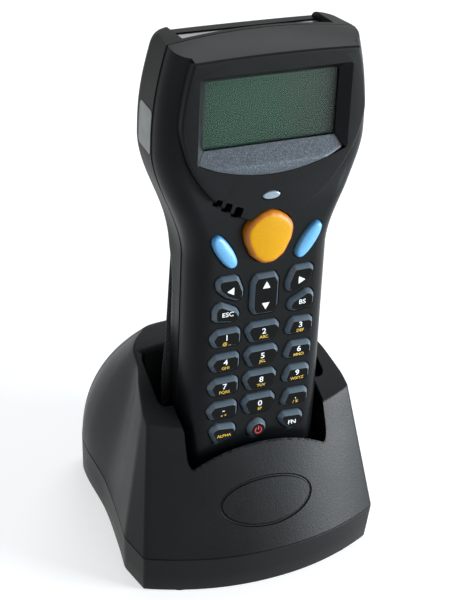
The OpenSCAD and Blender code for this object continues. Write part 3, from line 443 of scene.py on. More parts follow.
@dataclass(frozen=True)
class LiquidCrystal:
    """Reflective green display behind glass: dull, and grayer to the right."""

    name: str = "reflective liquid crystal"
    deep: str = "#284437"
    green: str = "#274236"
    gray: str = "#2e3833"
    half_mm: float = 26.0

    def build(self) -> Material:
        """Colour runs from green at the left to gray at the right, over slow mottling."""
        made, tree, shader = material(self.name)
        coord = add(tree, "ShaderNodeTexCoord").outputs["Object"]
        axes = add(tree, "ShaderNodeSeparateXYZ", None, Vector=coord)
        side = span(tree, axes.outputs["X"], 0.0, 1.0, -self.half_mm * MM, self.half_mm * MM)
        mottled = noise(tree, 6.0, 2.0)
        mixed = maths(tree, "MULTIPLY_ADD", mottled, 0.12, side)
        colour = ramp(tree, mixed, [(0.05, self.green), (0.5, self.deep), (1.0, self.gray)])
        wire(tree, shader, Base_Color=colour, Roughness=span(tree, mottled, 0.3, 0.4), Specular_IOR_Level=0.15)
        return made


@dataclass(frozen=True)
class WovenBand:
    """Flat woven elastic: thick dark yarn in a herringbone, with a soft fuzzy sheen."""

    name: str = "woven elastic"
    dark: str = "#141517"
    light: str = "#34373a"
    yarn_mm: float = 1.1

    def build(self) -> Material:
        """Two crossing waves on the band's UV map in millimetres give the twill and its shade."""
        made, tree, shader = material(self.name)
        uv = add(tree, "ShaderNodeUVMap", {"uv_map": "band"}).outputs["UV"]
        scale, twill = 2 * math.pi / (self.yarn_mm * 20), math.radians(40)
        turned = [add(tree, "ShaderNodeMapping", None, Vector=uv, Rotation=(0, 0, a)).outputs["Vector"]
                  for a in (twill, -twill)]
        waves = [add(tree, "ShaderNodeTexWave", {"wave_type": "BANDS"}, Vector=v, Scale=scale,
                     Distortion=0.4).outputs["Fac"] for v in turned]
        weave = maths(tree, "MAXIMUM", *waves)
        fuzz = noise(tree, 0.5, 3.0)
        shade = maths(tree, "MULTIPLY", weave, fuzz)
        wire(tree, shader, Base_Color=ramp(tree, shade, [(0.1, self.dark), (0.6, self.light)]),
             Roughness=span(tree, fuzz, 0.8, 0.95), Normal=relief(tree, weave, 0.25, 0.8),
             Sheen_Weight=0.25, Sheen_Roughness=0.5)
        return made


@dataclass(frozen=True)
class Laminate:
    """Circuit board under solder mask, or label stock: a sheet with a faint cloth or paper tooth."""

    name: str
    dark: str
    light: str
    roughness: float
    tooth_mm: float = 0.5

    def build(self) -> Material:
        """Square tooth from two noises of different size."""
        made, tree, shader = material(self.name)
        tooth, cloud = noise(tree, self.tooth_mm, 1.0), noise(tree, 7.0, 2.0)
        both = maths(tree, "MULTIPLY_ADD", tooth, 0.3, cloud)
        wire(tree, shader, Base_Color=ramp(tree, both, [(0.45, self.dark), (0.85, self.light)]),
             Roughness=span(tree, tooth, self.roughness - 0.05, self.roughness + 0.05),
             Normal=relief(tree, tooth, 0.01))
        return made


BLACK_SHELL = MouldedPlastic("moulded ABS, terminal", "#050708", "#0b0e10", 0.36, 0.6, 0.035, specular=0.12)
REAR_SHELL = MouldedPlastic("moulded ABS, terminal back", "#070808", "#0c0d0c", 0.42, specular=0.06)
HOUSING = MouldedPlastic("moulded ABS, cradle housing", "#07090a", "#0d1012", 0.4, 0.7, 0.05, specular=0.15)
TRAY = MouldedPlastic("moulded ABS, cradle tray", "#060708", "#0b0d0f", 0.44, 0.7, 0.05, specular=0.15)
KEY_BLACK = MouldedPlastic("silicone with lacquered top", "#040505", "#070808", 0.12, 0.6, 0.002, specular=0.1)
# Painted sheen: the key walls are the same near-black silicone as the tops, and their blue-gray colour paints the
# light that their drafted sides catch.
KEY_WALL_SHEEN = MouldedPlastic("silicone key side", "#4c5a65", "#596873", 0.4, 0.6, 0.008)
# Painted shade: the orange and blue walls are the same silicone as their keys' tops, coloured darker to paint the
# shade on the key sides.
ORANGE_WALL_SHADE = MouldedPlastic("orange silicone side", "#b86600", "#c47200", 0.45, 0.8, 0.008)
BLUE_WALL_SHADE = MouldedPlastic("blue silicone side", "#4f97cc", "#5ba3d6", 0.45, 0.8, 0.008)
KEY_ORANGE = MouldedPlastic("orange silicone key", "#c78e00", "#d19800", 0.38, 0.8, 0.008, specular=0.2)
KEY_BLUE = MouldedPlastic("blue silicone key", "#589fd4", "#64abdb", 0.4, 0.8, 0.008, coat=0.15)
RUBBER = MouldedPlastic("moulded rubber", "#141516", "#202224", 0.75, 0.7, 0.03)
DARK_PART = MouldedPlastic("glass-filled nylon", "#121314", "#1e2022", 0.5)
GRAY_PART = MouldedPlastic("silicone mat", "#34383b", "#43474b", 0.6)
WRAP = MouldedPlastic("shrink film round the cells", "#28435a", "#34536e", 0.35, 1.2, 0.02, coat=0.3)
IR_PLASTIC = MouldedPlastic("infrared filter plastic", "#2e080c", "#420f15", 0.12, 2.0, 0.003)
INK_WHITE = MouldedPlastic("white pad-printed ink", "#dfe3e6", "#f2f4f5", 0.5, 0.5, 0.004)
INK_YELLOW = MouldedPlastic("yellow pad-printed ink", "#c9a22c", "#dcb53c", 0.5, 0.5, 0.004)
INK_RED = MouldedPlastic("red pad-printed ink", "#a52222", "#c03030", 0.5, 0.5, 0.004)
SCAN_SMOKE = MouldedPlastic("polished smoked acrylic", "#3c4040", "#4a4e4e", 0.1, 3.0, 0.001, 1.0, 1.0)
LED_CLEAR = MouldedPlastic("frosted light pipe", "#7c8b96", "#8b9aa5", 0.25, 0.8, 0.01, coat=0.2)
STEEL = Metal("zinc-plated steel", "#9da1a4", "#b9bdc0")
GOLD = Metal("gold-plated contact", "#b98f3c", "#dcb860", 0.2, 0.3)
NICKEL = Metal("nickel-plated socket", "#8b8f91", "#a9adb0", 0.25)
BOARD = Laminate("solder-masked board", "#174a2b", "#236b40", 0.35)
LABEL = Laminate("paper label", "#a9aca9", "#bbbeb9", 0.6)
WINDOW = ClearPlastic("clear acrylic window", "#eef3f1")
LENS_TRIM = SpeckledPaint("metallic lacquer trim", "#2d333a", "#373f47", "#5a636c")

CARRIED_FINISH = {
    "cradle_feet": RUBBER, "cradle_screws": STEEL, "ballast_plate": STEEL, "cradle_board": BOARD,
    "pin_holder": DARK_PART, "charging_pins": GOLD, "cradle_ir_window": IR_PLASTIC, "dc_jack": DARK_PART,
    "data_socket": NICKEL, "case_gasket": RUBBER, "case_screws": STEEL, "screen_window": WINDOW,
    "buzzer": DARK_PART, "keypad_mat": GRAY_PART, "key_domes": STEEL, "main_board": BOARD,
    "scan_engine": DARK_PART, "terminal_ir_window": IR_PLASTIC, "terminal_contacts": GOLD,
    "battery_pack": WRAP, "battery_contacts": GOLD, "battery_latch": DARK_PART, "latch_spring": STEEL,
    "strap_anchors": DARK_PART, "lcd_module": LiquidCrystal(),
}


class Workshop:
    """Builds each finish once and puts pieces on their bodies."""

    def __init__(self, frame: dict) -> None:
        """Keeps the loaded frame and an empty shelf of finishes."""
        self.frame = frame
        self.shelf: dict[object, Material] = {}

    def finish(self, kind: object) -> Material:
        """The Blender material of a finish, built at its first use."""
        if kind not in self.shelf:
            self.shelf[kind] = kind.build()
        return self.shelf[kind]

    def place(self, obj: Object, body: str, slot: str, replaces: Sequence[str] = (), *kinds: object) -> Object:
        """Gives a piece one finish for each material index and a body, and hides the nodes that it replaces."""
        for kind in kinds:
            obj.data.materials.append(self.finish(kind))
        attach(obj, body)
        if replaces:
            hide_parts(*replaces)
        log.info("%s: %d faces on %s", obj.name, len(obj.data.polygons), body)
        return obj

    def carry(self) -> None:
        """Gives every CAD node that stays its finish."""
        for name, kind in CARRIED_FINISH.items():
            for entry in self.frame["nodes"][name].material_slots:
                entry.link = "OBJECT"
                entry.material = self.finish(kind)


# ---------- terminal ----------
@dataclass(frozen=True)
class TerminalForm:
    """Outer form of the terminal, from its two side curves and its front and rear levels."""

    body_length: float = 168.6
    top_crown: float = 2.7
    handle_width: float = 53
    head_width: float = 77
    top_width: float = 67.4
    front_depth: float = 10.9
    handle_depth: float = 27
    head_depth: float = 33.1
    top_depth: float = 29.7
    edge_radius: float = 7.4
    edge_height: float = 10
    rear_radius: float = 8
    ear_radius: float = 5
    neck_start: float = 93.5
    cheek: float = 134.2
    end_radius: float = 4
    end_edge: float = 2.5
    head_dip: float = 1.2
    swell_start: float = 76
    swell_end: float = 101
    slope_start: float = 142.6
    rear_edge: float = 4.5
    crown_start: float = 150
    gasket: float = 0.5
    top_rake: float = 3
    rake_start: float = 0.6
    rake_foot: float = 1.7
    crown_loss: float = 0.75
    seam_break: float = 0.25

    @property
    def rear_base(self) -> float:
        """Level of the rear shell's edge, behind the gasket."""
        return -self.front_depth - self.gasket

    def half_width(self, v: Array) -> Array:
        """Half width at the parting line: handle, smooth flare to the head, parabola to the top corners."""
        run = np.maximum(0.0, v - self.cheek - 3) / (self.body_length - self.cheek - 3)
        flare = fade(v, self.neck_start, self.cheek)
        return (self.handle_width / 2 + (self.head_width - self.handle_width) / 2 * flare
                - (self.head_width - self.top_width) / 2 * run ** 2
                - round_drop(self.end_radius - v, self.end_radius))

    def front_level(self, v: Array) -> Array:
        """Height of the front: a round lower end, flat, a dip before the head."""
        return -round_drop(self.end_edge - v, self.end_edge) - self.head_dip * smooth((v - 112) / 12)

    def rear_level(self, v: Array) -> Array:
        """Height of the back: the handle's, a swell under the head, a slope to the top end."""
        return (round_drop(self.end_edge - v, self.end_edge) - self.handle_depth
                - (self.head_depth - self.handle_depth) * fade(v, self.swell_start, self.swell_end)
                + (self.head_depth - self.top_depth) * fade(v, self.slope_start, self.body_length)
                + round_drop(v - self.body_length + self.rear_edge, self.rear_edge))

    def crown(self, u: Array, v: Array) -> Array:
        """Rise of the top end between its corners, a parabola in u that fades in along v."""
        arch = 1 - (u / (self.top_width / 2)) ** 2
        return self.top_crown * arch * fade(v, self.crown_start, self.body_length)

    def rake_level(self, u: Array, w: Array) -> Array:
        """Place along the length of the slanted top end at u and w."""
        height = (w + self.front_depth - self.rake_start) / (self.front_depth + self.rake_foot)
        return (self.body_length + self.crown(u, self.body_length) * (1 - self.crown_loss * height)
                - self.top_rake * height)

    def above_rake(self, edge: float, rise: float, radius: float = 1.3) -> Object:
        """Tool over the slanted top end, rounding it into the panel and into the ridge at each side.

        Args:
            edge: half width of the panel at the top end.
            rise: height of the panel.
            radius: radius of the rounding.
        Returns:
            The tool.
        """
        side, step = 40, 0.03
        u = np.concatenate([np.linspace(-side, -edge - step, 24), np.linspace(-edge + step, edge - step, 81),
                            np.linspace(edge + step, side, 24)])
        level = np.where(np.abs(u) < edge, rise, -self.head_dip)[:, None]
        k = self.top_rake + self.crown_loss * self.crown(u, self.body_length)[:, None]
        k = k / (self.front_depth + self.rake_foot)
        a = lerp(np.arctan(k), math.radians(86), np.linspace(0, 1, 14)[None, :])
        w = level - radius + radius * np.sin(a)
        v = self.rake_level(u[:, None], level - radius) - radius * np.hypot(1, k) + radius * np.cos(a)
        low = -self.front_depth - 3
        first = np.stack([self.rake_level(u, low), np.full(len(u), low)], -1)[:, None]
        outer = np.stack([np.concatenate([v[:, -1:], np.full((len(u), 2), 180.0)], axis=1),
                          np.broadcast_to([6.0, 6.0, low], (len(u), 3))], -1)
        ring = np.concatenate([first, np.stack([v, w], -1), outer], axis=1)
        points = np.concatenate([np.broadcast_to(u[:, None, None], ring.shape[:2] + (1,)), ring], axis=-1)
        return loft("rake", docked(points))

    def stations(self, t: float) -> Array:
        """Places along the length, closer together at both round ends."""
        low = t + 5 * (1 - np.cos(np.linspace(0, math.pi / 2, 14)))
        high = self.body_length - t - 6 * (1 - np.cos(np.linspace(math.pi / 2, 0, 16)))
        return np.concatenate([low, np.arange(t + 7, self.body_length - t - 7.5, 1.6), high])

    def front_rings(self, t: float, base: float) -> Array:
        """Front shell's form moved in by t: side walls, elliptical edges, a flat face and a flat back at base."""
        v = self.stations(t)[:, None]
        h, z = self.half_width(v) - t, self.front_level(v) - t
        a = self.edge_radius - t
        b = np.minimum(self.edge_height - t, z - base - 0.3)
        x = h - np.minimum(0.5, 0.1 * (z - b - base)) - a
        return self._rings(v, h, x, a, z - b, b, z, base, 1)

    def rear_rings(self, t: float, base: float) -> Array:
        """Rear shell's form moved in by t, the same way round from the back."""
        v = self.stations(t)[:, None]
        h, z = self.half_width(v) - t, self.rear_level(v) + t
        a = lerp(self.rear_radius, self.ear_radius, fade(v, self.slope_start, self.body_length)) - t
        x = h - np.minimum(1.3, 0.14 * (base - z - a)) - a
        return self._rings(v, h, x, a, z + a, a, z, base, -1)

    def _rings(self, v: Array, h: Array, x: Array, a: Array, middle: Array, b: Array, z: Array,
               base: float, sign: int) -> Array:
        """Rings of an arc, a flat and an arc, closed by a back edge that follows the crown too.

        Args:
            v, h: places along the length and the half widths there.
            x, middle: centre of the edge's arc across and in height.
            a, b: the arc's radius across and in height.
            z: level of the flat.
            base: level of the back edge.
            sign: 1 for the front shell, -1 for the rear shell.
        Returns:
            The rings in the terminal's axes, (stations, points, 3).
        """
        turn = np.linspace(0, math.pi / 2, 15)[None, :]
        right = np.stack(np.broadcast_arrays(x + a * np.cos(turn), middle + sign * b * np.sin(turn)), -1)
        flat = np.linspace(0.96, 0, 20)[None, :]
        edge = self.seam_break
        half = np.concatenate([np.stack(np.broadcast_arrays(h - edge, base + 0 * h), -1),
                               np.stack(np.broadcast_arrays(h, base + sign * edge + 0 * h), -1), right,
                               np.stack(np.broadcast_arrays(x * flat, z + 0 * flat), -1)], axis=1)
        mirror = half[:, -2::-1] * np.array([-1.0, 1.0])
        top = np.concatenate([half, mirror], axis=1)
        back = top[:, -2:0:-1].copy()
        back[..., 0] *= (h - edge - 0.05) / h
        back[..., 1] = base
        ring = np.concatenate([top, back], axis=1)
        along = v + self.crown(ring[..., 0], v)
        return np.stack([ring[..., 0], along, ring[..., 1]], axis=-1)

    def solid(self, name: str, rings: Array) -> Object:
        """Closed solid through such rings, each end filled by a strip between its front and back edges."""
        rows, n = rings.shape[:2]
        faces = grid_faces(rows, n)
        for base, flip in ((0, True), ((rows - 1) * n, False)):
            for k in range(n // 2):
                corner = [k, k + 1, n - k - 1, (n - k) % n]
                face = [base + c for c in dict.fromkeys(corner)]
                faces.append(face[::-1] if flip else face)
        return new_mesh(name, docked(rings.reshape(-1, 3)), faces)


@dataclass
class ScreenSizes:
    """The sloped well, the window under it and the trim below the window."""

    width: float = 54.4
    height: float = 29.6
    base: float = 131
    slope: float = 3
    lower_slope: float = 3.7
    upper_slope: float = 2.2
    depth: float = 3.4
    panel_rise: float = 1.7
    lens_drop: float = 6
    rim: float = 0.8

    @property
    def glass(self) -> tuple[float, float, float, float]:
        """Half width, lower end, upper end and level of the visible glass."""
        low, high = self.base + self.lower_slope, self.base + self.height - self.upper_slope
        return self.width / 2 - self.slope, low, high, self.panel_rise - self.depth

    def glass_outline(self, grow: float) -> Array:
        """Rounded rectangle of the glass."""
        half, low, high, _ = self.glass
        return rectangle(half, low, high, self.rim)(grow)

    def well_outline(self, grow: float) -> Array:
        """Rounded rectangle of the well at the panel."""
        return rectangle(self.width / 2, self.base, self.base + self.height, self.rim)(grow)


DIGITS = [f"key_{k}" for k in (*range(1, 10), "minus", 0, "point")]


@dataclass(frozen=True)
class KeyShape:
    """One key: its corner polygon in place, its finishes (the walls' finish carries painted sheen or painted
    shade) and how far its corners are eased.
    """

    name: str
    corners: tuple[tuple[float, float], ...]
    radius: float
    finish: MouldedPlastic = KEY_BLACK
    wall: MouldedPlastic = KEY_WALL_SHEEN
    slot: str = "key_black"
    ease: float = 0.7

    def outline(self, grow: float) -> Array:
        """Outline of the key grown outwards, its corners eased."""
        return rounded(mitred(np.array(self.corners), self.ease), self.radius + self.ease + grow)

    @property
    def middle(self) -> Array:
        """Middle of the key's box."""
        c = np.array(self.corners)
        return (c.min(axis=0) + c.max(axis=0)) / 2


def moved(points: Sequence[Sequence[float]], at: Sequence[float], mirror: bool = False, turn: float = 0) -> tuple:
    """Corner polygon mirrored in u, turned by degrees and moved to its place."""
    p = np.array(points, float)
    if mirror:
        p = p[::-1] * np.array([-1.0, 1.0])
    a = math.radians(turn)
    p = p @ np.array([[math.cos(a), math.sin(a)], [-math.sin(a), math.cos(a)]])
    return tuple(map(tuple, p + np.array(at)))


@dataclass
class Keypad:
    """All keys with their shapes and profiles."""

    column_pitch: float = 14.2
    row_pitch: float = 9.67
    first_row: float = 65.2
    key_rise: float = 2
    key_gap: float = 0.25
    power_place: tuple[float, float] = (0, 25.8)
    power_diameter: float = 7.4
    flange_base: float = -2.85
    flange_top: float = -1.95
    rocker_place: tuple[float, float] = (0, 79.9)
    shapes: list[KeyShape] = field(default_factory=list)

    def __post_init__(self) -> None:
        """Lays out the keys."""
        left = [[-3.4, -2.3], [4.6, -2.3], [4.6, 1.6], [3.9, 2.1], [-3.3, 2], [-4.7, 0.3]]
        middle = [[-3.6, -2.7], [3.6, -2.7], [5.5, 1.2], [4.4, 2.6], [-4.4, 2.6], [-5.5, 1.2]]
        right = [[-4.2, -2.1], [4.2, -1.9], [4.2, 1.3], [3.6, 1.8], [-2.6, 2]]
        for i, name in enumerate(DIGITS):
            at = ((i % 3 - 1) * self.column_pitch, self.first_row - (i // 3) * self.row_pitch)
            self.shapes.append(KeyShape(name, moved((left, middle, right)[i % 3], at), 1.3))
        edit = [[-1.6, -2.7], [3.8, -1.9], [3.9, 1.2], [3.2, 2.4], [2, 2.6], [-3, 0], [-3.8, -1.5], [-3.2, -2.3]]
        arrow = [[-3.6, -3.6], [0.9, -1.5], [3.5, 1], [4.1, 3.3], [3.2, 3.7], [-1.9, 3.6], [-3.7, -0.8]]
        alpha = [[-1.9, -2.8], [3, -1.4], [4, 1], [3.6, 2.2], [-2.2, 2.7], [-4, 2], [-3.4, 0.2]]
        function = [[0.7, -2.8], [3.1, -1.3], [3.8, 1.2], [3, 2.3], [-3.2, 2.7], [-3.8, 1.9], [-2.2, -0.6]]
        side = ellipse(5.7, 1.25, 24)
        scan = [[1.6, -7.8], [4.4, -5.6], [6.6, -1], [7.2, 3], [5.2, 5.3], [2.6, 7.1]]
        scan_all = scan + [[0, 7.8]] + [[-u, v] for u, v in scan[::-1]]
        self.shapes += [
            KeyShape("escape_key", moved(edit, (-14.2, 75), mirror=True), 1.4),
            KeyShape("backspace_key", moved(edit, (14.2, 75)), 1.4),
            KeyShape("arrow_left_key", moved(arrow, (-13.2, 83.6), mirror=True), 1.5),
            KeyShape("arrow_right_key", moved(arrow, (13.2, 83.6)), 1.5),
            KeyShape("alpha_key", moved(alpha, (-13.6, 26.4)), 1.3),
            KeyShape("function_key", moved(function, (13.4, 26.3)), 1.3),
            *(KeyShape(f"{name}_side_key", moved(side, (at, 98.1), turn=turn), 1.5, KEY_BLUE, BLUE_WALL_SHADE,
                       "key_blue", 0.0) for name, at, turn in (("left", -15.8, -57), ("right", 15.8, 57))),
            KeyShape("scan_key", moved(scan_all, (0, 102.1)), 2, KEY_ORANGE, ORANGE_WALL_SHADE, "key_orange", 3.0)]

    def rocker_outline(self, grow: float) -> Array:
        """Waisted outline of the up/down key: the hull of each half, joined at the waist."""
        half, waist = np.array([[-3.2, -0.5], [3.2, -0.5], [4, 4.6], [3, 6.4], [-3, 6.4], [-4, 4.6]]), 0.3
        ring = rounded(half, 1.4 + grow)
        upper = ring[ring[:, 1] > waist]
        upper = upper[np.argsort(np.arctan2(upper[:, 1] - waist, upper[:, 0]))]
        lower = (upper * np.array([1.0, -1.0]))[::-1]
        return np.vstack([upper, lower]) + np.array(self.rocker_place)

    def profile(self, key: KeyShape) -> tuple[list[tuple[float, float]], float]:
        """Side profile as (height, growth) pairs from the flange to the top's edge, and the top's dome."""
        foot = [(self.flange_base, 0.5), (self.flange_top, 0.5), (self.flange_top, 0.0)]
        if key.slot == "key_orange":
            return foot + [(0.6, 0.0), (1.5, -0.05), (2.1, -0.3), (2.55, -0.75), (2.85, -1.3), (3.0, -1.9)], 0.35
        if key.slot == "key_blue":
            return foot + [(0.3, 0.0), (0.8, -0.08), (1.15, -0.3), (1.4, -0.65), (1.55, -1.1)], 0.3
        top = self.key_rise
        return foot + [(0.1, 0.0), (0.3, -0.08), (top - 0.25, -1.05), (top - 0.07, -1.18), (top, -1.35)], 0.0

    def body(self, name: str, outline: Callable[[float], Array], profile: Sequence[tuple[float, float]],
             dome: float) -> Object:
        """Key body: profile rings, then rings that shrink to the middle of the top over a low dome.

        Args:
            name: the piece's name.
            outline: the key's outline as a function of its growth.
            profile: (height, growth) pairs up to the top's edge.
            dome: the top's height over its edge, which falls off as 1 - s squared towards it.
        Returns:
            The body, with material index 0 on the top and 1 on the walls.
        """
        rings = levels(outline, profile)
        walls = (len(profile) - 2) * rings.shape[1]
        edge = rings[-1]
        middle = edge.mean(axis=0)
        shrink = np.array([0.93, 0.8, 0.6, 0.35, 0.12])[:, None, None]
        inner = middle + (edge - middle)[None] * shrink
        inner[..., 2] += dome * (1 - shrink[..., 0] ** 2)
        obj = soften(loft(name, docked(np.concatenate([rings, inner]))), 40)
        index = np.zeros(len(obj.data.polygons), dtype=np.int32)
        index[:walls] = 1
        obj.data.polygons.foreach_set("material_index", index)
        return obj


@dataclass
class Terminal:
    """The handheld terminal, from its two shells to the strap."""

    shop: Workshop
    form: TerminalForm = field(default_factory=TerminalForm)
    screen: ScreenSizes = field(default_factory=ScreenSizes)
    keypad: Keypad = field(default_factory=Keypad)
    shell_wall: float = 1.8
    panel_margin: float = 5
    chin_middle: float = 145
    chin_depth: float = 37.6
    chin_power: float = 1.75
    panel_corner: float = 0.6
    cover_top: float = 76
    cover_seam: float = 17.5
    scan_half: float = 27.3
    scan_rim: float = 167.3
    scan_lip: float = 2.2
    label_low: float = 131.5
    label_high: float = 146.5
    strap_low: float = 4
    strap_bend: float = 50
    strap_high: float = 106
    strap_rise: float = 7
    strap_width: float = 50
    strap_top_width: float = 38
    strap_thickness: float = 2.2
    strap_gap: float = 0.3
    sound_slots: tuple = ((-19.3, 116.6), (-15.9, 114.6), (-12.1, 112.4))
    head_screws: tuple = ((23.0, 124.0), (-23.0, 124.0))
    bay_screws: tuple = ((21.1, 69.7), (-21.1, 69.7), (17.9, 5.5), (-17.9, 5.5))

    def panel_outline(self, grow: float) -> Array:
        """Head panel: a superellipse chin, sides parallel to the shell, round top corners and a crowned top."""
        form, top = self.form, self.form.body_length + 3 + grow
        q = np.linspace(math.pi / 2, 0, 50)
        a = float(form.half_width(np.array(self.chin_middle))) - self.panel_margin + grow
        chin = np.column_stack([a * np.cos(q) ** (2 / self.chin_power),
                                self.chin_middle - (self.chin_depth + grow) * np.sin(q) ** (2 / self.chin_power)])
        r = self.panel_corner
        v = np.linspace(self.chin_middle + 1, top - r - 0.5, 14)
        side = np.column_stack([form.half_width(v) - self.panel_margin + grow, v])
        hub = np.array([float(form.half_width(np.array(top - r))) - self.panel_margin + grow - r, top - r])
        turn = np.linspace(0, math.pi / 2, 12)
        corner = hub + r * np.column_stack([np.cos(turn), np.sin(turn)])
        corner[:, 1] += form.crown(corner[:, 0], np.array(top))
        u = np.linspace(hub[0] - 1, 0, 24)
        edge = np.column_stack([u, top + form.crown(u, np.array(top))])
        half = np.vstack([chin, side, corner, edge])
        return resampled(mirrored(half), 360)

    def build(self) -> None:
        """Builds every piece of the terminal."""
        self.front_shell()
        self.rear_shell()
        self.battery_cover()
        self.scan_window()
        self.side_label()
        self.lens()
        self.keys()
        self.strap()

    def front_shell(self) -> None:
        """Front shell with its raised panel, screen well, key holes, light and sound openings."""
        form, screen, pad = self.form, self.screen, self.keypad
        shell = form.solid("front_case", form.front_rings(0, -form.front_depth))
        rise = screen.panel_rise
        r = 0.9
        rounding = [(rise - r * (1 - math.sin(a)), 0.25 - r * (1 - math.cos(a)))
                    for a in np.linspace(0, math.pi / 2, 7)]
        panel = prism("panel", self.panel_outline, [(-2.8, 0.5)] + rounding)
        edge = float(form.half_width(np.array(form.body_length))) - self.panel_margin + 0.55
        combine(shell, Cut.PLUS, panel)
        combine(shell, Cut.LESS, form.above_rake(edge, rise))
        hollow = form.front_rings(self.shell_wall, -form.front_depth - 2)
        hollow[..., 1] -= form.top_rake * smooth((hollow[..., 1] - 150) / 17)
        combine(shell, Cut.LESS, form.solid("hollow", hollow), self.lens_seat())
        well = loft("well", docked(np.concatenate([
            levels(screen.glass_outline, [(-10, 0), (screen.glass[3], 0)]),
            levels(screen.well_outline, [(rise - 0.25, -0.05), (rise, 0.3), (rise + 4, 0.3)])])))
        combine(shell, Cut.LESS, well)
        gap, lip = pad.key_gap, 0.3
        for outline in [shape.outline for shape in pad.shapes] + [pad.rocker_outline, self.power_outline]:
            combine(shell, Cut.LESS, prism("hole", outline, [
                (-6, gap), (-lip, gap), (0, gap + lip), (4, gap + lip)]))
        light = [(-6, 0.1), (0.25, 0.1), (0.55, 0.4), (4, 0.4)]
        combine(shell, Cut.LESS, prism("hole", self.led_outline, light))
        for k, at in enumerate(self.sound_slots):
            (x, y), r = np.array([1.9, 3]) * (0.8 + 0.2 * k) / 2, 0.2
            corners = np.array(moved(box_corners(-x, x, -y, y, r), at, turn=-20))
            combine(shell, Cut.LESS, prism(
                "slot", lambda grow: rounded(corners, r + grow), [(-6, 0), (-1.4, 0), (-0.8, 0.25), (3, 0.5)]))
        # the charging contacts' openings and the infrared window's, in the bottom end
        for x in (4, 8, 12, 16):
            combine(shell, Cut.LESS, block("contact", (x - 1.4, -1, -7.4), (x + 1.4, 4, -4.6)))
        combine(shell, Cut.LESS, block("window", (-15.5, -1, -8), (-4.5, 4, -4)))
        self.shop.place(soften(shell), "terminal", "shell_plastic", ["front_shell"], BLACK_SHELL)

    def bay(self, gap: float, top: float) -> Object:
        """Box of the battery bay, up to a place along the length and short of the bay's own walls by a gap."""
        return block("bay", (-53, -1, -38), (53, top, -self.cover_seam - gap))

    def screw_posts(self, places: Array, r: float, low: float, high: float) -> list[Object]:
        """Round posts at the given places, used for bosses and for screw holes."""
        return [prism("post", circle(*at, r), [(low, 0), (high, 0)]) for at in places]

    def rear_shell(self) -> None:
        """Rear shell: the battery bay below, screw bosses, and the seat of the scan window across the top."""
        form = self.form
        base, top, depth = form.rear_base, form.body_length + 6, form.head_depth + 2
        shell = form.solid("rear_case", form.rear_rings(0, base))
        hollow = form.solid("hollow", form.rear_rings(self.shell_wall, base + 2))
        wide, shelf = self.scan_half + 2, self.scan_rim - 1.65
        combine(hollow, Cut.LESS, block("floor", (-53, 0, -15.8), (53, self.cover_top + 2, -14.2)),
                block("end", (-53, self.cover_top, -depth), (53, self.cover_top + 2, -14.3)),
                block("shelf", (-wide, shelf - 3.2, -depth), (wide, top, base)),
                *self.screw_posts(self.head_screws, 4, -depth, base),
                *self.screw_posts(self.bay_screws, 2.7, -14.3, base))
        lip = base - self.scan_lip
        combine(shell, Cut.LESS, hollow, self.bay(0, self.cover_top),
                *self.screw_posts(np.vstack([self.head_screws, self.bay_screws]), 1.45, -depth, base + 1),
                *self.screw_posts(self.head_screws, 2.5, -depth - 1, -17),
                block("seat", (-self.scan_half, shelf, -25.5), (self.scan_half, top, lip)),
                block("beam", (-21, shelf - 5, -23), (21, top, lip - 1)),
                self.rim_opening(depth, lip))
        self.shop.place(soften(shell), "terminal", "shell_plastic", ["rear_shell"], REAR_SHELL)

    def rim_opening(self, depth: float, lip: float) -> Object:
        """Tool that opens the top of the rear shell behind the front lip, widening a little as it rises."""
        low, high, half = self.scan_rim, self.form.body_length, self.scan_half
        rings = [np.insert(box_corners(-half - grow, half + grow, -depth, front), 1, v, axis=1)
                 for v, grow, front in ((low, 0, lip), (low + 1.1, 0, lip), (high + 3, 0.5, lip + 0.3),
                                        (high + 6, 0.5, lip + 0.3))]
        return loft("opening", docked(np.array(rings)))

    def battery_cover(self) -> None:
        """Cover of the battery bay: a shell piece with a pocket for its latch and a rib that holds the spring."""
        form = self.form
        cover = form.solid("battery_door", form.rear_rings(0, form.rear_base))
        inner = form.solid("inner", form.rear_rings(self.shell_wall, form.rear_base + 2))
        combine(inner, Cut.COMMON, self.bay(-1, self.cover_top - 0.8))
        combine(cover, Cut.COMMON, self.bay(0.25, self.cover_top - 0.25))
        combine(cover, Cut.LESS, inner, block("pocket", (-6.2, 62.3, -28), (6.2, 71.2, -26)),
                block("slot", (-2.2, 65, -28), (2.2, 69.1, -23)))
        combine(cover, Cut.PLUS, block("rib", (-2, 61.7, -25.3), (2, 62.9, -22.8)))
        self.shop.place(soften(cover), "terminal", "shell_plastic", ["battery_cover"], REAR_SHELL)

    def scan_window(self) -> None:
        """Scan window: a smoked slab across the top with its edges broken."""
        half, low = self.scan_half - 0.2, self.scan_rim - 1.6
        front, back = self.form.rear_base - self.scan_lip - 0.2, -25.3
        rings = [np.insert(box_corners(-half, half, back, front, d), 1, v, axis=1)
                 for v, d in ((low, 0.15), (low + 0.15, 0), (low + 1.05, 0), (low + 1.2, 0.15))]
        slab = loft("scan_glass", docked(np.array(rings)))
        self.shop.place(soften(slab, 20), "terminal", "scan_clear", ["scan_window"], SCAN_SMOKE)

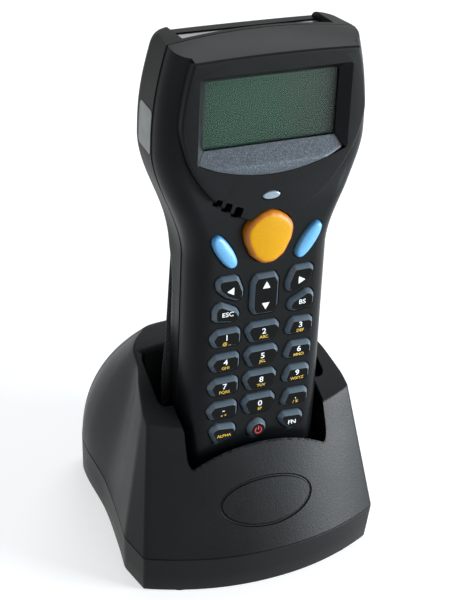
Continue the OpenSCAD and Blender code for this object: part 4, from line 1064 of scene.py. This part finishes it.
    def side_label(self) -> None:
        """Bare label on the left flank: a thin sheet with round corners that follows the wall."""
        form, r = self.form, 1.5
        low, high = self.label_low, self.label_high
        s = (1 - np.cos(np.linspace(0, math.pi, 41)))[:, None] / 2
        v = low + s * (high - low)
        gap = np.minimum(v - low, high - v)
        turn = r - np.sqrt(np.maximum(0, r * r - np.maximum(0, r - gap) ** 2))
        foot = form.rear_level(v) + form.rear_radius
        w = lerp(form.rear_base - 0.25 - turn, foot + 0.6 + turn, np.linspace(0, 1, 14)[None, :])
        run = np.minimum(1.3, 0.14 * (form.rear_base - foot))
        u = run * (form.rear_base - w) / (form.rear_base - foot) - form.half_width(v)
        inner, outer = (np.stack(np.broadcast_arrays(u - d, v, w), -1) for d in (0.08, 0.2))
        sheet = loft("bare_label", docked(np.concatenate([outer, inner[:, ::-1]], axis=1)))
        self.shop.place(soften(sheet, 50), "terminal", "label_paper", ["side_label"], LABEL)

    def lens_seat(self) -> Object:
        """Tool that opens the panel for the trim under the window."""
        half, glass_low, _, floor = self.screen.glass
        s = np.linspace(-1, 1, 61)
        arc = self.screen.base - self.screen.lens_drop * (1 - s ** 2) - 0.1
        low = np.column_stack([s * (self.screen.width / 2 - 0.2), arc])
        outline = np.vstack([low, [[half + 0.1, glass_low + 0.1], [-half - 0.1, glass_low + 0.1]]])
        return prism("seat", lambda _: outline, [(floor - 0.6, 0), (6, 0)])

    def power_outline(self, grow: float) -> Array:
        """Circle of the power key."""
        return circle(*self.keypad.power_place, self.keypad.power_diameter / 2, 64)(grow)

    def led_outline(self, grow: float) -> Array:
        """Ellipse of the status light."""
        return np.array([0, 117.3]) + ellipse(3.25 + grow, 1.35 + grow, 64)

    def lens(self) -> None:
        """Half-moon trim from the window's edge up to the panel, and the lens of the status light."""
        screen = self.screen
        half, glass_low, _, floor = screen.glass
        n, rows = 81, 14
        s = np.linspace(-1, 1, n)
        t = np.linspace(0, 1, rows)[:, None]
        bend = screen.base - screen.lens_drop + screen.lens_drop * s ** 2
        wide = screen.width / 2 - 0.3
        u = lerp(s * wide, s * (half - 0.1), smooth(t * 1.25 - 0.25))
        v = lerp(bend, np.full(n, glass_low), t)
        foot = screen.base - 2.5
        w = lerp(screen.panel_rise, floor, np.clip((v - foot) / (glass_low - foot), 0, 1))
        w = w - 0.15 * (1 - np.minimum(1, t * 5)) ** 2 - 0.05
        front = np.stack([u, v, w], -1)
        back = front[::-1].copy()
        back[..., 2] -= lerp(0.7, 0.3, t[::-1])
        ring = np.concatenate([front, back]).transpose(1, 0, 2)
        piece = soften(loft("window_trim", docked(ring)), 40)
        self.shop.place(piece, "terminal", "lens_trim", ["lens_panel"], LENS_TRIM)
        rise = screen.panel_rise
        lens = prism("status_lens", self.led_outline, [
            (-3.6, 0), (rise - 0.1, 0), (rise + 0.1, -0.08), (rise + 0.22, -0.3), (rise + 0.3, -0.7)])
        self.shop.place(soften(lens), "terminal", "led_clear", ["led_lens"], LED_CLEAR)

    def keys(self) -> None:
        """All keys on their own bodies, with their legends."""
        pad = self.keypad
        for shape in pad.shapes:
            rings, dome = pad.profile(shape)
            obj = pad.body(f"{shape.name}_cap", shape.outline, rings, dome)
            self.shop.place(obj, shape.name, shape.slot, [shape.name], shape.finish, shape.wall)
        for name, outline in (("up_down_key", pad.rocker_outline), ("power_key", self.power_outline)):
            obj = pad.body(f"{name}_cap", outline, *pad.profile(pad.shapes[0]))
            self.shop.place(obj, name, "key_black", [name], KEY_BLACK, KEY_WALL_SHEEN)
        self.legends()

    def legends(self) -> None:
        """Prints the digits, letters, arrows and the power sign, each on its own key."""
        pad, place = self.keypad, {shape.name: shape.middle for shape in self.keypad.shapes}
        letters = ["@ _", "ABC", "DEF", "GHI", "JKL", "MNO", "PQRS", "TUV", "WXYZ", "+ *", "SP", "/ %"]
        for name, mark, group in zip(DIGITS, "123456789-0.", letters):
            at = place[name] + np.array([0.0, 0.75])
            self.word(f"{name}_mark", mark, 3.0, at, name, INK_WHITE)
            self.word(f"{name}_letters", group, 1.55, at - np.array([0, 2.15]), name, INK_YELLOW)
        for name, mark, ink in (("escape_key", "ESC", INK_WHITE), ("backspace_key", "BS", INK_WHITE),
                                ("function_key", "FN", INK_WHITE), ("alpha_key", "ALPHA", INK_YELLOW)):
            self.word(f"{name}_mark", mark, 1.6 if len(mark) > 3 else 2.4, place[name], name, ink)
        arrow = np.array([[-1.25, -1.0], [1.25, -1.0], [0.0, 1.25]])
        rocker = np.array(pad.rocker_place)
        for name, at, turn in (("arrow_left_key", place["arrow_left_key"], 90),
                               ("arrow_right_key", place["arrow_right_key"], -90),
                               ("up_down_key", rocker + [0, 3.9], 0), ("up_down_key", rocker - [0, 3.9], 180)):
            outline = rounded(np.array(moved(arrow, at, turn=turn)), 0.12, 2)
            self.print_on(f"{name}_arrow_{turn % 360}", outline, name, INK_WHITE)
        a = np.radians(np.linspace(125, 415, 40))
        at, arc = np.array(pad.power_place), np.column_stack([np.cos(a), np.sin(a)])
        ring = np.concatenate([at + 1.45 * arc, (at + arc)[::-1]])
        self.print_on("power_key_ring", ring, "power_key", INK_RED)
        self.print_on("power_key_bar", rectangle(0.24, 0.1, 1.75, 0.1)(0) + at, "power_key", INK_RED)

    def print_on(self, name: str, outline: Array, body: str, ink: MouldedPlastic) -> None:
        """Puts a flat printed shape on the top of a key."""
        low = self.keypad.key_rise - 0.01
        self.shop.place(prism(name, lambda _: outline, [(low, 0), (low + 0.04, 0)]), body, "key_black", [], ink)

    def word(self, name: str, text: str, size: float, at: Array, body: str, ink: MouldedPlastic) -> None:
        """Prints a generic word or digit, centred at a place on a key's top."""
        curve = bpy.data.curves.new(name, "FONT")
        curve.body, curve.size, curve.extrude, curve.offset = text, size, 0.02, size * 0.012
        curve.align_x, curve.align_y, curve.resolution_u = "CENTER", "CENTER", 6
        letters = bpy.data.objects.new(name + "_curve", curve)
        bpy.context.scene.collection.objects.link(letters)
        bpy.context.view_layer.update()
        mesh = bpy.data.meshes.new_from_object(letters.evaluated_get(bpy.context.evaluated_depsgraph_get()))
        bpy.data.objects.remove(letters)
        points = np.empty(len(mesh.vertices) * 3)
        mesh.vertices.foreach_get("co", points)
        points = points.reshape(-1, 3)
        points[:, :2] += np.asarray(at, float)
        points[:, 0] = at[0] + (points[:, 0] - at[0]) * 1.12
        points[:, 2] += self.keypad.key_rise + 0.02
        mesh.vertices.foreach_set("co", (docked(points) * MM).ravel())
        mesh.update()
        obj = bpy.data.objects.new(name, mesh)
        bpy.context.scene.collection.objects.link(obj)
        self.shop.place(obj, body, "key_black", [], ink)

    def strap(self) -> None:
        """Elastic hand strap: a flat band along its path, with rounded edges and a UV map in millimetres."""
        low, bend, high, t = self.strap_low, self.strap_bend, self.strap_high, self.strap_thickness
        v = np.concatenate([np.linspace(low, bend - 2, 40), np.linspace(bend - 1, high, 60)])
        half = lerp(self.strap_width, self.strap_top_width, np.clip((v - 40) / (high - 40), 0, 1)) / 2
        level = -self.form.handle_depth - self.strap_gap - t / 2
        level = level - self.strap_rise * np.clip((v - bend) / (high - bend), 0, 1)
        q = np.linspace(0, 2 * math.pi, 48, endpoint=False)
        across = np.sign(np.cos(q)) * np.abs(np.cos(q)) ** 0.15
        thick = np.sign(np.sin(q)) * np.abs(np.sin(q)) ** 0.7
        rings = np.stack([half[:, None] * across, v[:, None] + 0 * across, level[:, None] + t / 2 * thick], -1)
        obj = soften(loft("hand_strap_band", docked(rings)), 60)
        layer = obj.data.uv_layers.new(name="band")
        co = np.empty(len(obj.data.vertices) * 3)
        obj.data.vertices.foreach_get("co", co)
        loops = np.empty(len(obj.data.loops), dtype=int)
        obj.data.loops.foreach_get("vertex_index", loops)
        points = co.reshape(-1, 3)[loops] / MM
        layer.data.foreach_set("uv", np.column_stack([points[:, 0], points[:, 2]]).ravel())
        self.shop.place(obj, "terminal", "strap_web", ["hand_strap"], WovenBand())


# ---------- cradle ----------
@dataclass
class Cradle:
    """The charging cradle: its housing with the pocket, over the tray."""

    shop: Workshop
    cradle_width: float = 97
    cradle_depth: float = 95.7
    tray_height: float = 15.1
    shoulder_height: float = 56.1
    front_bow: float = 10.6
    front_slope: float = 0.515
    deck_slope: float = 0.45
    deck_depth: float = 45.3
    deck_half: float = 37.8
    bow_power: float = 2.1
    top_bow: float = 4
    rim_round: float = 0.8
    groove_radius: float = 0.62
    edge_break: float = 0.45
    mouth_round: float = 2.2
    pocket_half: float = 27.7
    pocket_back: float = -30.7
    pocket_front: float = 4.2
    notch_width: float = 5
    notch_front: float = -11
    feet_inset: tuple[float, float] = (17, 11.8)

    @property
    def front_y(self) -> float:
        """Most forward point of the arc."""
        return -self.cradle_depth / 2

    def face_y(self, z: Array) -> Array:
        """Front face at height z."""
        return self.front_y + 0.3 + self.front_slope * (z - self.tray_height)

    def deck_z(self, y: Array) -> Array:
        """Sloping deck at depth y."""
        return self.shoulder_height + self.deck_slope * (y - self.face_y(self.shoulder_height))

    def plan(self, z: float) -> Array:
        """Plan at height z: the bowed front and the flank, blended between parting line and deck."""
        rear = self.cradle_depth / 2
        deck_rear = self.face_y(self.shoulder_height) + self.deck_depth
        deck_top = self.deck_z(deck_rear)
        half, front, top = self.cradle_width / 2, self.front_y, self.face_y(deck_top) + self.top_bow
        low = np.array([[half - 2.3, front + self.front_bow], [half, front + self.front_bow + 13.5],
                        [half - 2.5, front + 37.7], [half - 5.2, rear - 38], [half - 5.6, rear - 17],
                        [half - 7.9, rear - 6.9], [half - 14.5, rear - 1.5], [0, rear]])
        high = np.array([[self.deck_half, top], [37.2, top + 2], [35.8, deck_rear - 20.7],
                         [34.4, deck_rear - 15.6], [33, deck_rear - 10.1], [28.5, deck_rear - 4.1],
                         [23, deck_rear - 0.9], [0, deck_rear]])
        power = np.array([1, 1, 1, 0.8, 1.7, 2, 2, 2.0])
        t = float(np.clip((z - self.tray_height) / (deck_top - self.tray_height), 0, 1))
        flank = lerp(low, high, (t ** power)[:, None])
        bow = lerp(self.front_bow, self.top_bow, t)
        k = np.linspace(0, 1, 60)[:-1]
        arc = np.column_stack([flank[0, 0] * k, flank[0, 1] - bow + bow * k ** self.bow_power])
        return self.eased(arc, flank)

    def eased(self, arc: Array, flank: Array) -> Array:
        """Half plan: the two front corners turned tightly, the rest a smooth curve through the flank's points.

        Args:
            arc: points of the bowed front, ending before the front corner.
            flank: the flank's corners, the last one on the middle of the rear wall.
        Returns:
            The arc and the flank as one polyline, up to the middle of the rear wall.
        """
        s = np.linspace(0, 1, 13)[:, None]
        bends = []
        for before, here, after, reach in ((arc[-3], *flank[:2], 1.2), (*flank[:3], 1.6)):
            start, end = (here + reach * (p - here) / np.linalg.norm(p - here) for p in (before, after))
            bends.append((1 - s) ** 2 * start + 2 * s * (1 - s) * here + s ** 2 * end)
        points = np.vstack([flank[1:], flank[-2] * np.array([-1.0, 1.0])])
        here, after = points[:-1], points[1:]
        before = np.vstack([2 * points[0] - points[1], points[:-2]])
        tangent = (after - before) / 2
        t = np.linspace(0, 1, 24)[:-1, None]
        h = [2 * t ** 3 - 3 * t ** 2 + 1, t ** 3 - 2 * t ** 2 + t, -2 * t ** 3 + 3 * t ** 2, t ** 3 - t ** 2]
        curve = [h[0] * here[i] + h[1] * tangent[i] + h[2] * here[i + 1] + h[3] * tangent[i + 1]
                 for i in range(len(here) - 1)]
        return np.vstack([arc[:-3]] + bends + [curve[0][4:]] + curve[1:] + [flank[-1:]])

    def walls(self, rows: int) -> Array:
        """Points of the outer wall, (rows, columns, 3), each column ending where it meets the deck's plane."""
        height = np.linspace(self.tray_height, 80, 80)
        whole = mirrored(np.array([self.plan(z) for z in height]))
        over = height[:, None] - self.deck_z(whole[..., 1])
        rise = np.array([np.interp(0.0, over[:, j], height) for j in range(whole.shape[1])])
        z = self.tray_height + (rise - self.tray_height) * np.linspace(0, 1, rows)[:, None]
        place = (z - height[0]) / (height[1] - height[0])
        low = np.clip(place.astype(int), 0, len(height) - 2)
        share = (place - low)[..., None]
        column = np.broadcast_to(np.arange(whole.shape[1]), z.shape)
        xy = whole[low, column] * (1 - share) + whole[low + 1, column] * share
        return np.concatenate([xy, z[..., None]], axis=-1)

    def build(self) -> None:
        """Builds the housing with its deck, pocket and oval groove."""
        self.housing()
        self.tray()

    def housing(self) -> None:
        """Housing with its deck, the pocket that opens through the front, and the oval groove."""
        walls = self.walls(40)
        top, below = walls[-1], walls[-3]
        down = (below - top) / np.linalg.norm(below - top, axis=1)[:, None]
        flat = np.column_stack([inset(top[:, :2], 1.0) - top[:, :2], np.zeros(len(top))])
        flat[:, 2] = self.deck_slope * flat[:, 1]
        a = np.linspace(0, math.pi / 2, 8)[:, None, None]
        rounding = top + self.rim_round * ((1 - np.sin(a)) * down + (1 - np.cos(a)) * flat)
        foot = lerp(walls[0], walls[1], 0.25)
        sunk = np.column_stack([inset(walls[0, :, :2], 0.3), walls[0, :, 2]])
        piece = loft("housing_shell", np.concatenate([sunk[None], foot[None], walls[1:-3], rounding]))
        for half, low, front in ((self.pocket_half, -0.45, self.pocket_front),
                                 (self.pocket_half + self.notch_width, 7, self.notch_front)):
            outline = rectangle(half, self.pocket_back, front, self.mouth_round)(0)
            rings = np.array([np.insert(outline, 1, v, axis=1) for v in (low, 90)])
            combine(piece, Cut.LESS, loft("pocket", docked(rings)), self.deck_flare(half, front))
        combine(piece, Cut.LESS, self.mouth_flare(), self.oval())
        self.shop.place(soften(piece), "cradle", "cradle_plastic", ["cradle_housing"], HOUSING)

    def deck_flare(self, half: float, front: float) -> Object:
        """Tool that breaks the edge between the deck and one part of the pocket."""
        outline = rectangle(half, self.pocket_back, front, self.mouth_round)
        rows = []
        for grow, lift in ((0.0, -self.edge_break), (self.edge_break, 0.02), (self.edge_break, 25)):
            rows.append([self.on_deck(u, w) + lift * ALONG for u, w in outline(grow)])
        return loft("flare", np.array(rows))

    def face(self, x: Array, z: Array) -> Array:
        """Depth of the bowed front at x and z, blended from the parting line to the deck's height."""
        deck_top = float(self.deck_z(self.face_y(self.shoulder_height) + self.deck_depth))
        t = (z - self.tray_height) / (deck_top - self.tray_height)
        side_x = lerp(self.cradle_width / 2 - 2.3, self.deck_half, t)
        side_y = lerp(self.front_y + self.front_bow, self.face_y(deck_top) + self.top_bow, t)
        bow = lerp(self.front_bow, self.top_bow, t)
        return side_y - bow + bow * np.abs(x / side_x) ** self.bow_power

    def mouth_flare(self) -> Object:
        """Tool that breaks the edge where the pocket opens through the front."""
        v = np.linspace(4, 46, 400)
        rows = []
        for grow, depth in ((0.0, self.edge_break), (0.35, -0.02), (0.35, -12)):
            outline = rectangle(self.pocket_half, self.pocket_back, self.pocket_front, self.mouth_round)(grow)
            half = self.pocket_half + grow
            first = int(np.argmin(np.abs(outline[:, 0] - half) + np.abs(outline[:, 1] + 30)))
            outline = np.roll(outline, -first, axis=0)
            outline = outline[outline[:, 1] > -29.5]
            order = resampled(np.vstack([[half, -17.0], outline, [-half, -17.0]]), 160, closed=False)
            start = DOCK + order[:, :1] * np.array([1.0, 0, 0]) + order[:, 1:] * OUTWARD
            place = np.array([np.interp(0, self.face(x, z + v * ALONG[2]) - y - v * ALONG[1], v)
                              for x, y, z in start])
            curve = start + place[:, None] * ALONG
            left, right = curve[-1], curve[0]
            closing = np.array([[left[0], left[1], 72.0], [right[0], right[1], 72.0]])
            rows.append(np.vstack([curve, closing]) + [0, depth, 0])
        return loft("flare", np.array(rows))

    def tray(self) -> None:
        """Tray: a drafted wall with a round foot edge, its feet's seats, screw holes and port openings."""
        plan = self.walls(2)[0, :, :2]
        # height and how far the wall stands in from the parting line's plan
        rows = [(0.3, 1.2), (0.42, 1.0), (0.7, 0.88), (7.5, 0.45), (14.6, 0.06), (14.85, 0.25), (15.0, 0.6)]

        def outline(grow: float) -> Array:
            """The tray's plan grown outwards."""
            return inset(plan, -grow)

        piece = loft("tray_shell", levels(outline, [(z, -d) for z, d in rows]))
        combine(piece, Cut.LESS, loft("inner", levels(outline, [(2.9, -3.0), (15.4, -2.4)])))
        rear, half = self.cradle_depth / 2, self.cradle_width / 2
        posts = [(x * (half - a), y) for x in (-1, 1) for a, y in ((7, self.front_y + 20.8), (10.5, rear - 19.8))]
        for x, y in posts:
            combine(piece, Cut.PLUS, loft("post", levels(circle(x, y, 3.5), [(0.5, 0), (self.tray_height, 0)])))
            combine(piece, Cut.LESS, loft("hole", levels(circle(x, y, 1.45), [(0, 0), (17, 0)])),
                    loft("seat", levels(circle(x, y, 2.6), [(0, 0.3), (0.6, 0), (4.3, 0)])))
        across, along = self.feet_inset
        for x, y in [(i * (half - across), j * (rear - along)) for i in (-1, 1) for j in (-1, 1)]:
            combine(piece, Cut.LESS, loft("foot", levels(circle(x, y, 5.6), [(0, 0.2), (0.5, 0), (1.6, 0)])))
        for x, w, h in ((-18, 9, 6.2), (12, 12, 6)):
            outline = rectangle(w / 2 + 0.2, 6.9, 7.2 + h, 0.5)(0)
            rings = np.array([np.insert(outline + [x, 0], 1, y, axis=1) for y in (rear - 6, rear + 4)])
            combine(piece, Cut.LESS, loft("port", rings))
        self.shop.place(soften(piece), "cradle", "tray_plastic", ["cradle_tray"], TRAY)

    def on_deck(self, u: float, w: float) -> Array:
        """Point of the deck's plane that has these u and w in the terminal's axes."""
        start = DOCK + np.array([u, 0, 0]) + w * OUTWARD
        gap = self.deck_z(start[1]) - start[2]
        return start + gap / (ALONG[2] - self.deck_slope * ALONG[1]) * ALONG

    def oval(self) -> Object:
        """Round groove along an oval on the sloping front: a tube on the wall's own surface."""
        walls = self.walls(60)
        a = np.linspace(0, 2 * math.pi, 160, endpoint=False)
        slant = math.atan(self.front_slope)
        x, z = 17.9 * np.cos(a), 31.3 + 8.6 * np.sin(a) * math.cos(slant)
        near = walls.reshape(-1, 3)
        near = near[near[:, 1] < 0]
        best = near[np.argmin((near[:, :1] - x) ** 2 + (near[:, 2:] - z) ** 2, axis=0)]
        y = best[:, 1] + self.front_slope * (z - best[:, 2])
        y = np.convolve(np.tile(y, 3), np.ones(9) / 9, mode="same")[len(y):2 * len(y)]
        path = np.column_stack([x, y, z])
        tangent = np.roll(path, -1, axis=0) - np.roll(path, 1, axis=0)
        tangent /= np.linalg.norm(tangent, axis=1)[:, None]
        normal = np.array([0, -math.cos(slant), math.sin(slant)])
        side = np.cross(tangent, normal)
        side /= np.linalg.norm(side, axis=1)[:, None]
        q = np.linspace(0, 2 * math.pi, 14, endpoint=False)
        tube = path[:, None] + self.groove_radius * (
            np.cos(q)[None, :, None] * side[:, None] + np.sin(q)[None, :, None] * normal)
        rows, n = tube.shape[:2]
        last = (rows - 1) * n
        faces = grid_faces(rows, n) + [[last + k, last + (k + 1) % n, (k + 1) % n, k] for k in range(n)]
        return new_mesh("groove", tube.reshape(-1, 3), faces)


# ---------- studio ----------
class Studio:
    """White floor and world, three soft lamps and the camera."""

    def build(self) -> None:
        """Builds the whole stage."""
        self.floor()
        self.world()
        self.lamp("key", (0.4, 0.5, 1.1), 0.7, 5.5)
        self.lamp("front", (0.75, -0.55, 0.24), 0.45, 16)
        self.lamp("left", (-0.9, -0.4, 0.5), 0.6, 0.6)
        self.camera()

    def floor(self) -> None:
        """Large pale floor that is white to the camera where no shadow falls."""
        reach, low = 3000, -0.05
        points = [[x, y, low] for y in (-reach, reach) for x in (-reach, reach)]
        floor = new_mesh("floor", points, [[0, 1, 3, 2]], turn=False)
        made, tree, shader = material("white paper sweep")
        tree.nodes.remove(shader)
        tooth = noise(tree, 2.0, 2.0)
        paper = ramp(tree, tooth, [(0.3, "#c9c9c9"), (0.7, "#cdcdcd")])
        diffuse = add(tree, "ShaderNodeBsdfDiffuse", None, Color=paper).outputs[0]
        glow = add(tree, "ShaderNodeEmission", None, Color=(1, 1, 1, 1), Strength=0.62).outputs[0]
        total = add(tree, "ShaderNodeAddShader", None, _0=diffuse, _1=glow).outputs[0]
        self.show(tree, diffuse, total, tree.nodes["Material Output"])
        floor.data.materials.append(made)

    def world(self) -> None:
        """White to the camera and to reflections, a soft gray to everything else."""
        world = bpy.data.worlds.new("studio")
        bpy.context.scene.world = world
        world.use_nodes = True
        tree = world.node_tree
        tree.nodes.clear()
        soft = add(tree, "ShaderNodeBackground", None, Color=(0.8, 0.85, 0.9, 1), Strength=0.35).outputs[0]
        white = add(tree, "ShaderNodeBackground", None, Color=(1, 1, 1, 1), Strength=1.0).outputs[0]
        self.show(tree, soft, white, add(tree, "ShaderNodeOutputWorld"))

    def show(self, tree: Tree, hidden: object, seen: object, output: bpy.types.Node) -> None:
        """Sends one shader to camera, glossy and transmission rays and the other to all the rest."""
        path = add(tree, "ShaderNodeLightPath").outputs
        direct = maths(tree, "MAXIMUM", path["Is Camera Ray"], path["Is Glossy Ray"])
        direct = maths(tree, "MAXIMUM", direct, path["Is Transmission Ray"])
        mix = add(tree, "ShaderNodeMixShader", None, Fac=direct, _1=hidden, _2=seen)
        wire(tree, output, Surface=mix.outputs[0])

    def lamp(self, name: str, place: tuple[float, float, float], size: float, power: float) -> None:
        """Square area lamp that looks at the middle of the object."""
        data = bpy.data.lights.new(name, "AREA")
        data.size, data.energy, data.color = size, power, (0.9, 0.96, 1.0)
        obj = bpy.data.objects.new(name, data)
        obj.location = place
        obj.rotation_euler = (Vector((0, 0, 0.1)) - Vector(place)).to_track_quat("-Z", "Y").to_euler()
        bpy.context.scene.collection.objects.link(obj)

    def camera(self) -> None:
        """Camera left of the front, looking down, with the frame's long side over 36 mm of film."""
        data = bpy.data.cameras.new("camera")
        data.sensor_fit, data.sensor_height, data.sensor_width = "VERTICAL", 36, 27
        data.lens = 99.0
        data.clip_start, data.clip_end = 0.01, 20
        obj = bpy.data.objects.new("camera", data)
        obj.location = (-0.2332, -0.44573, 0.40249)
        obj.rotation_euler = Euler([math.radians(a) for a in (58.2328, -4.3882, -24.4718)], "XYZ")
        bpy.context.scene.collection.objects.link(obj)
        bpy.context.scene.camera = obj


def main() -> None:
    """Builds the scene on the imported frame."""
    logging.basicConfig(level=logging.INFO, format="%(name)s: %(message)s")
    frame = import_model()
    bpy.context.scene.view_settings.view_transform = "Standard"
    shop = Workshop(frame)
    Studio().build()
    shop.carry()
    Cradle(shop).build()
    Terminal(shop).build()


if __name__ == "__main__":
    main()
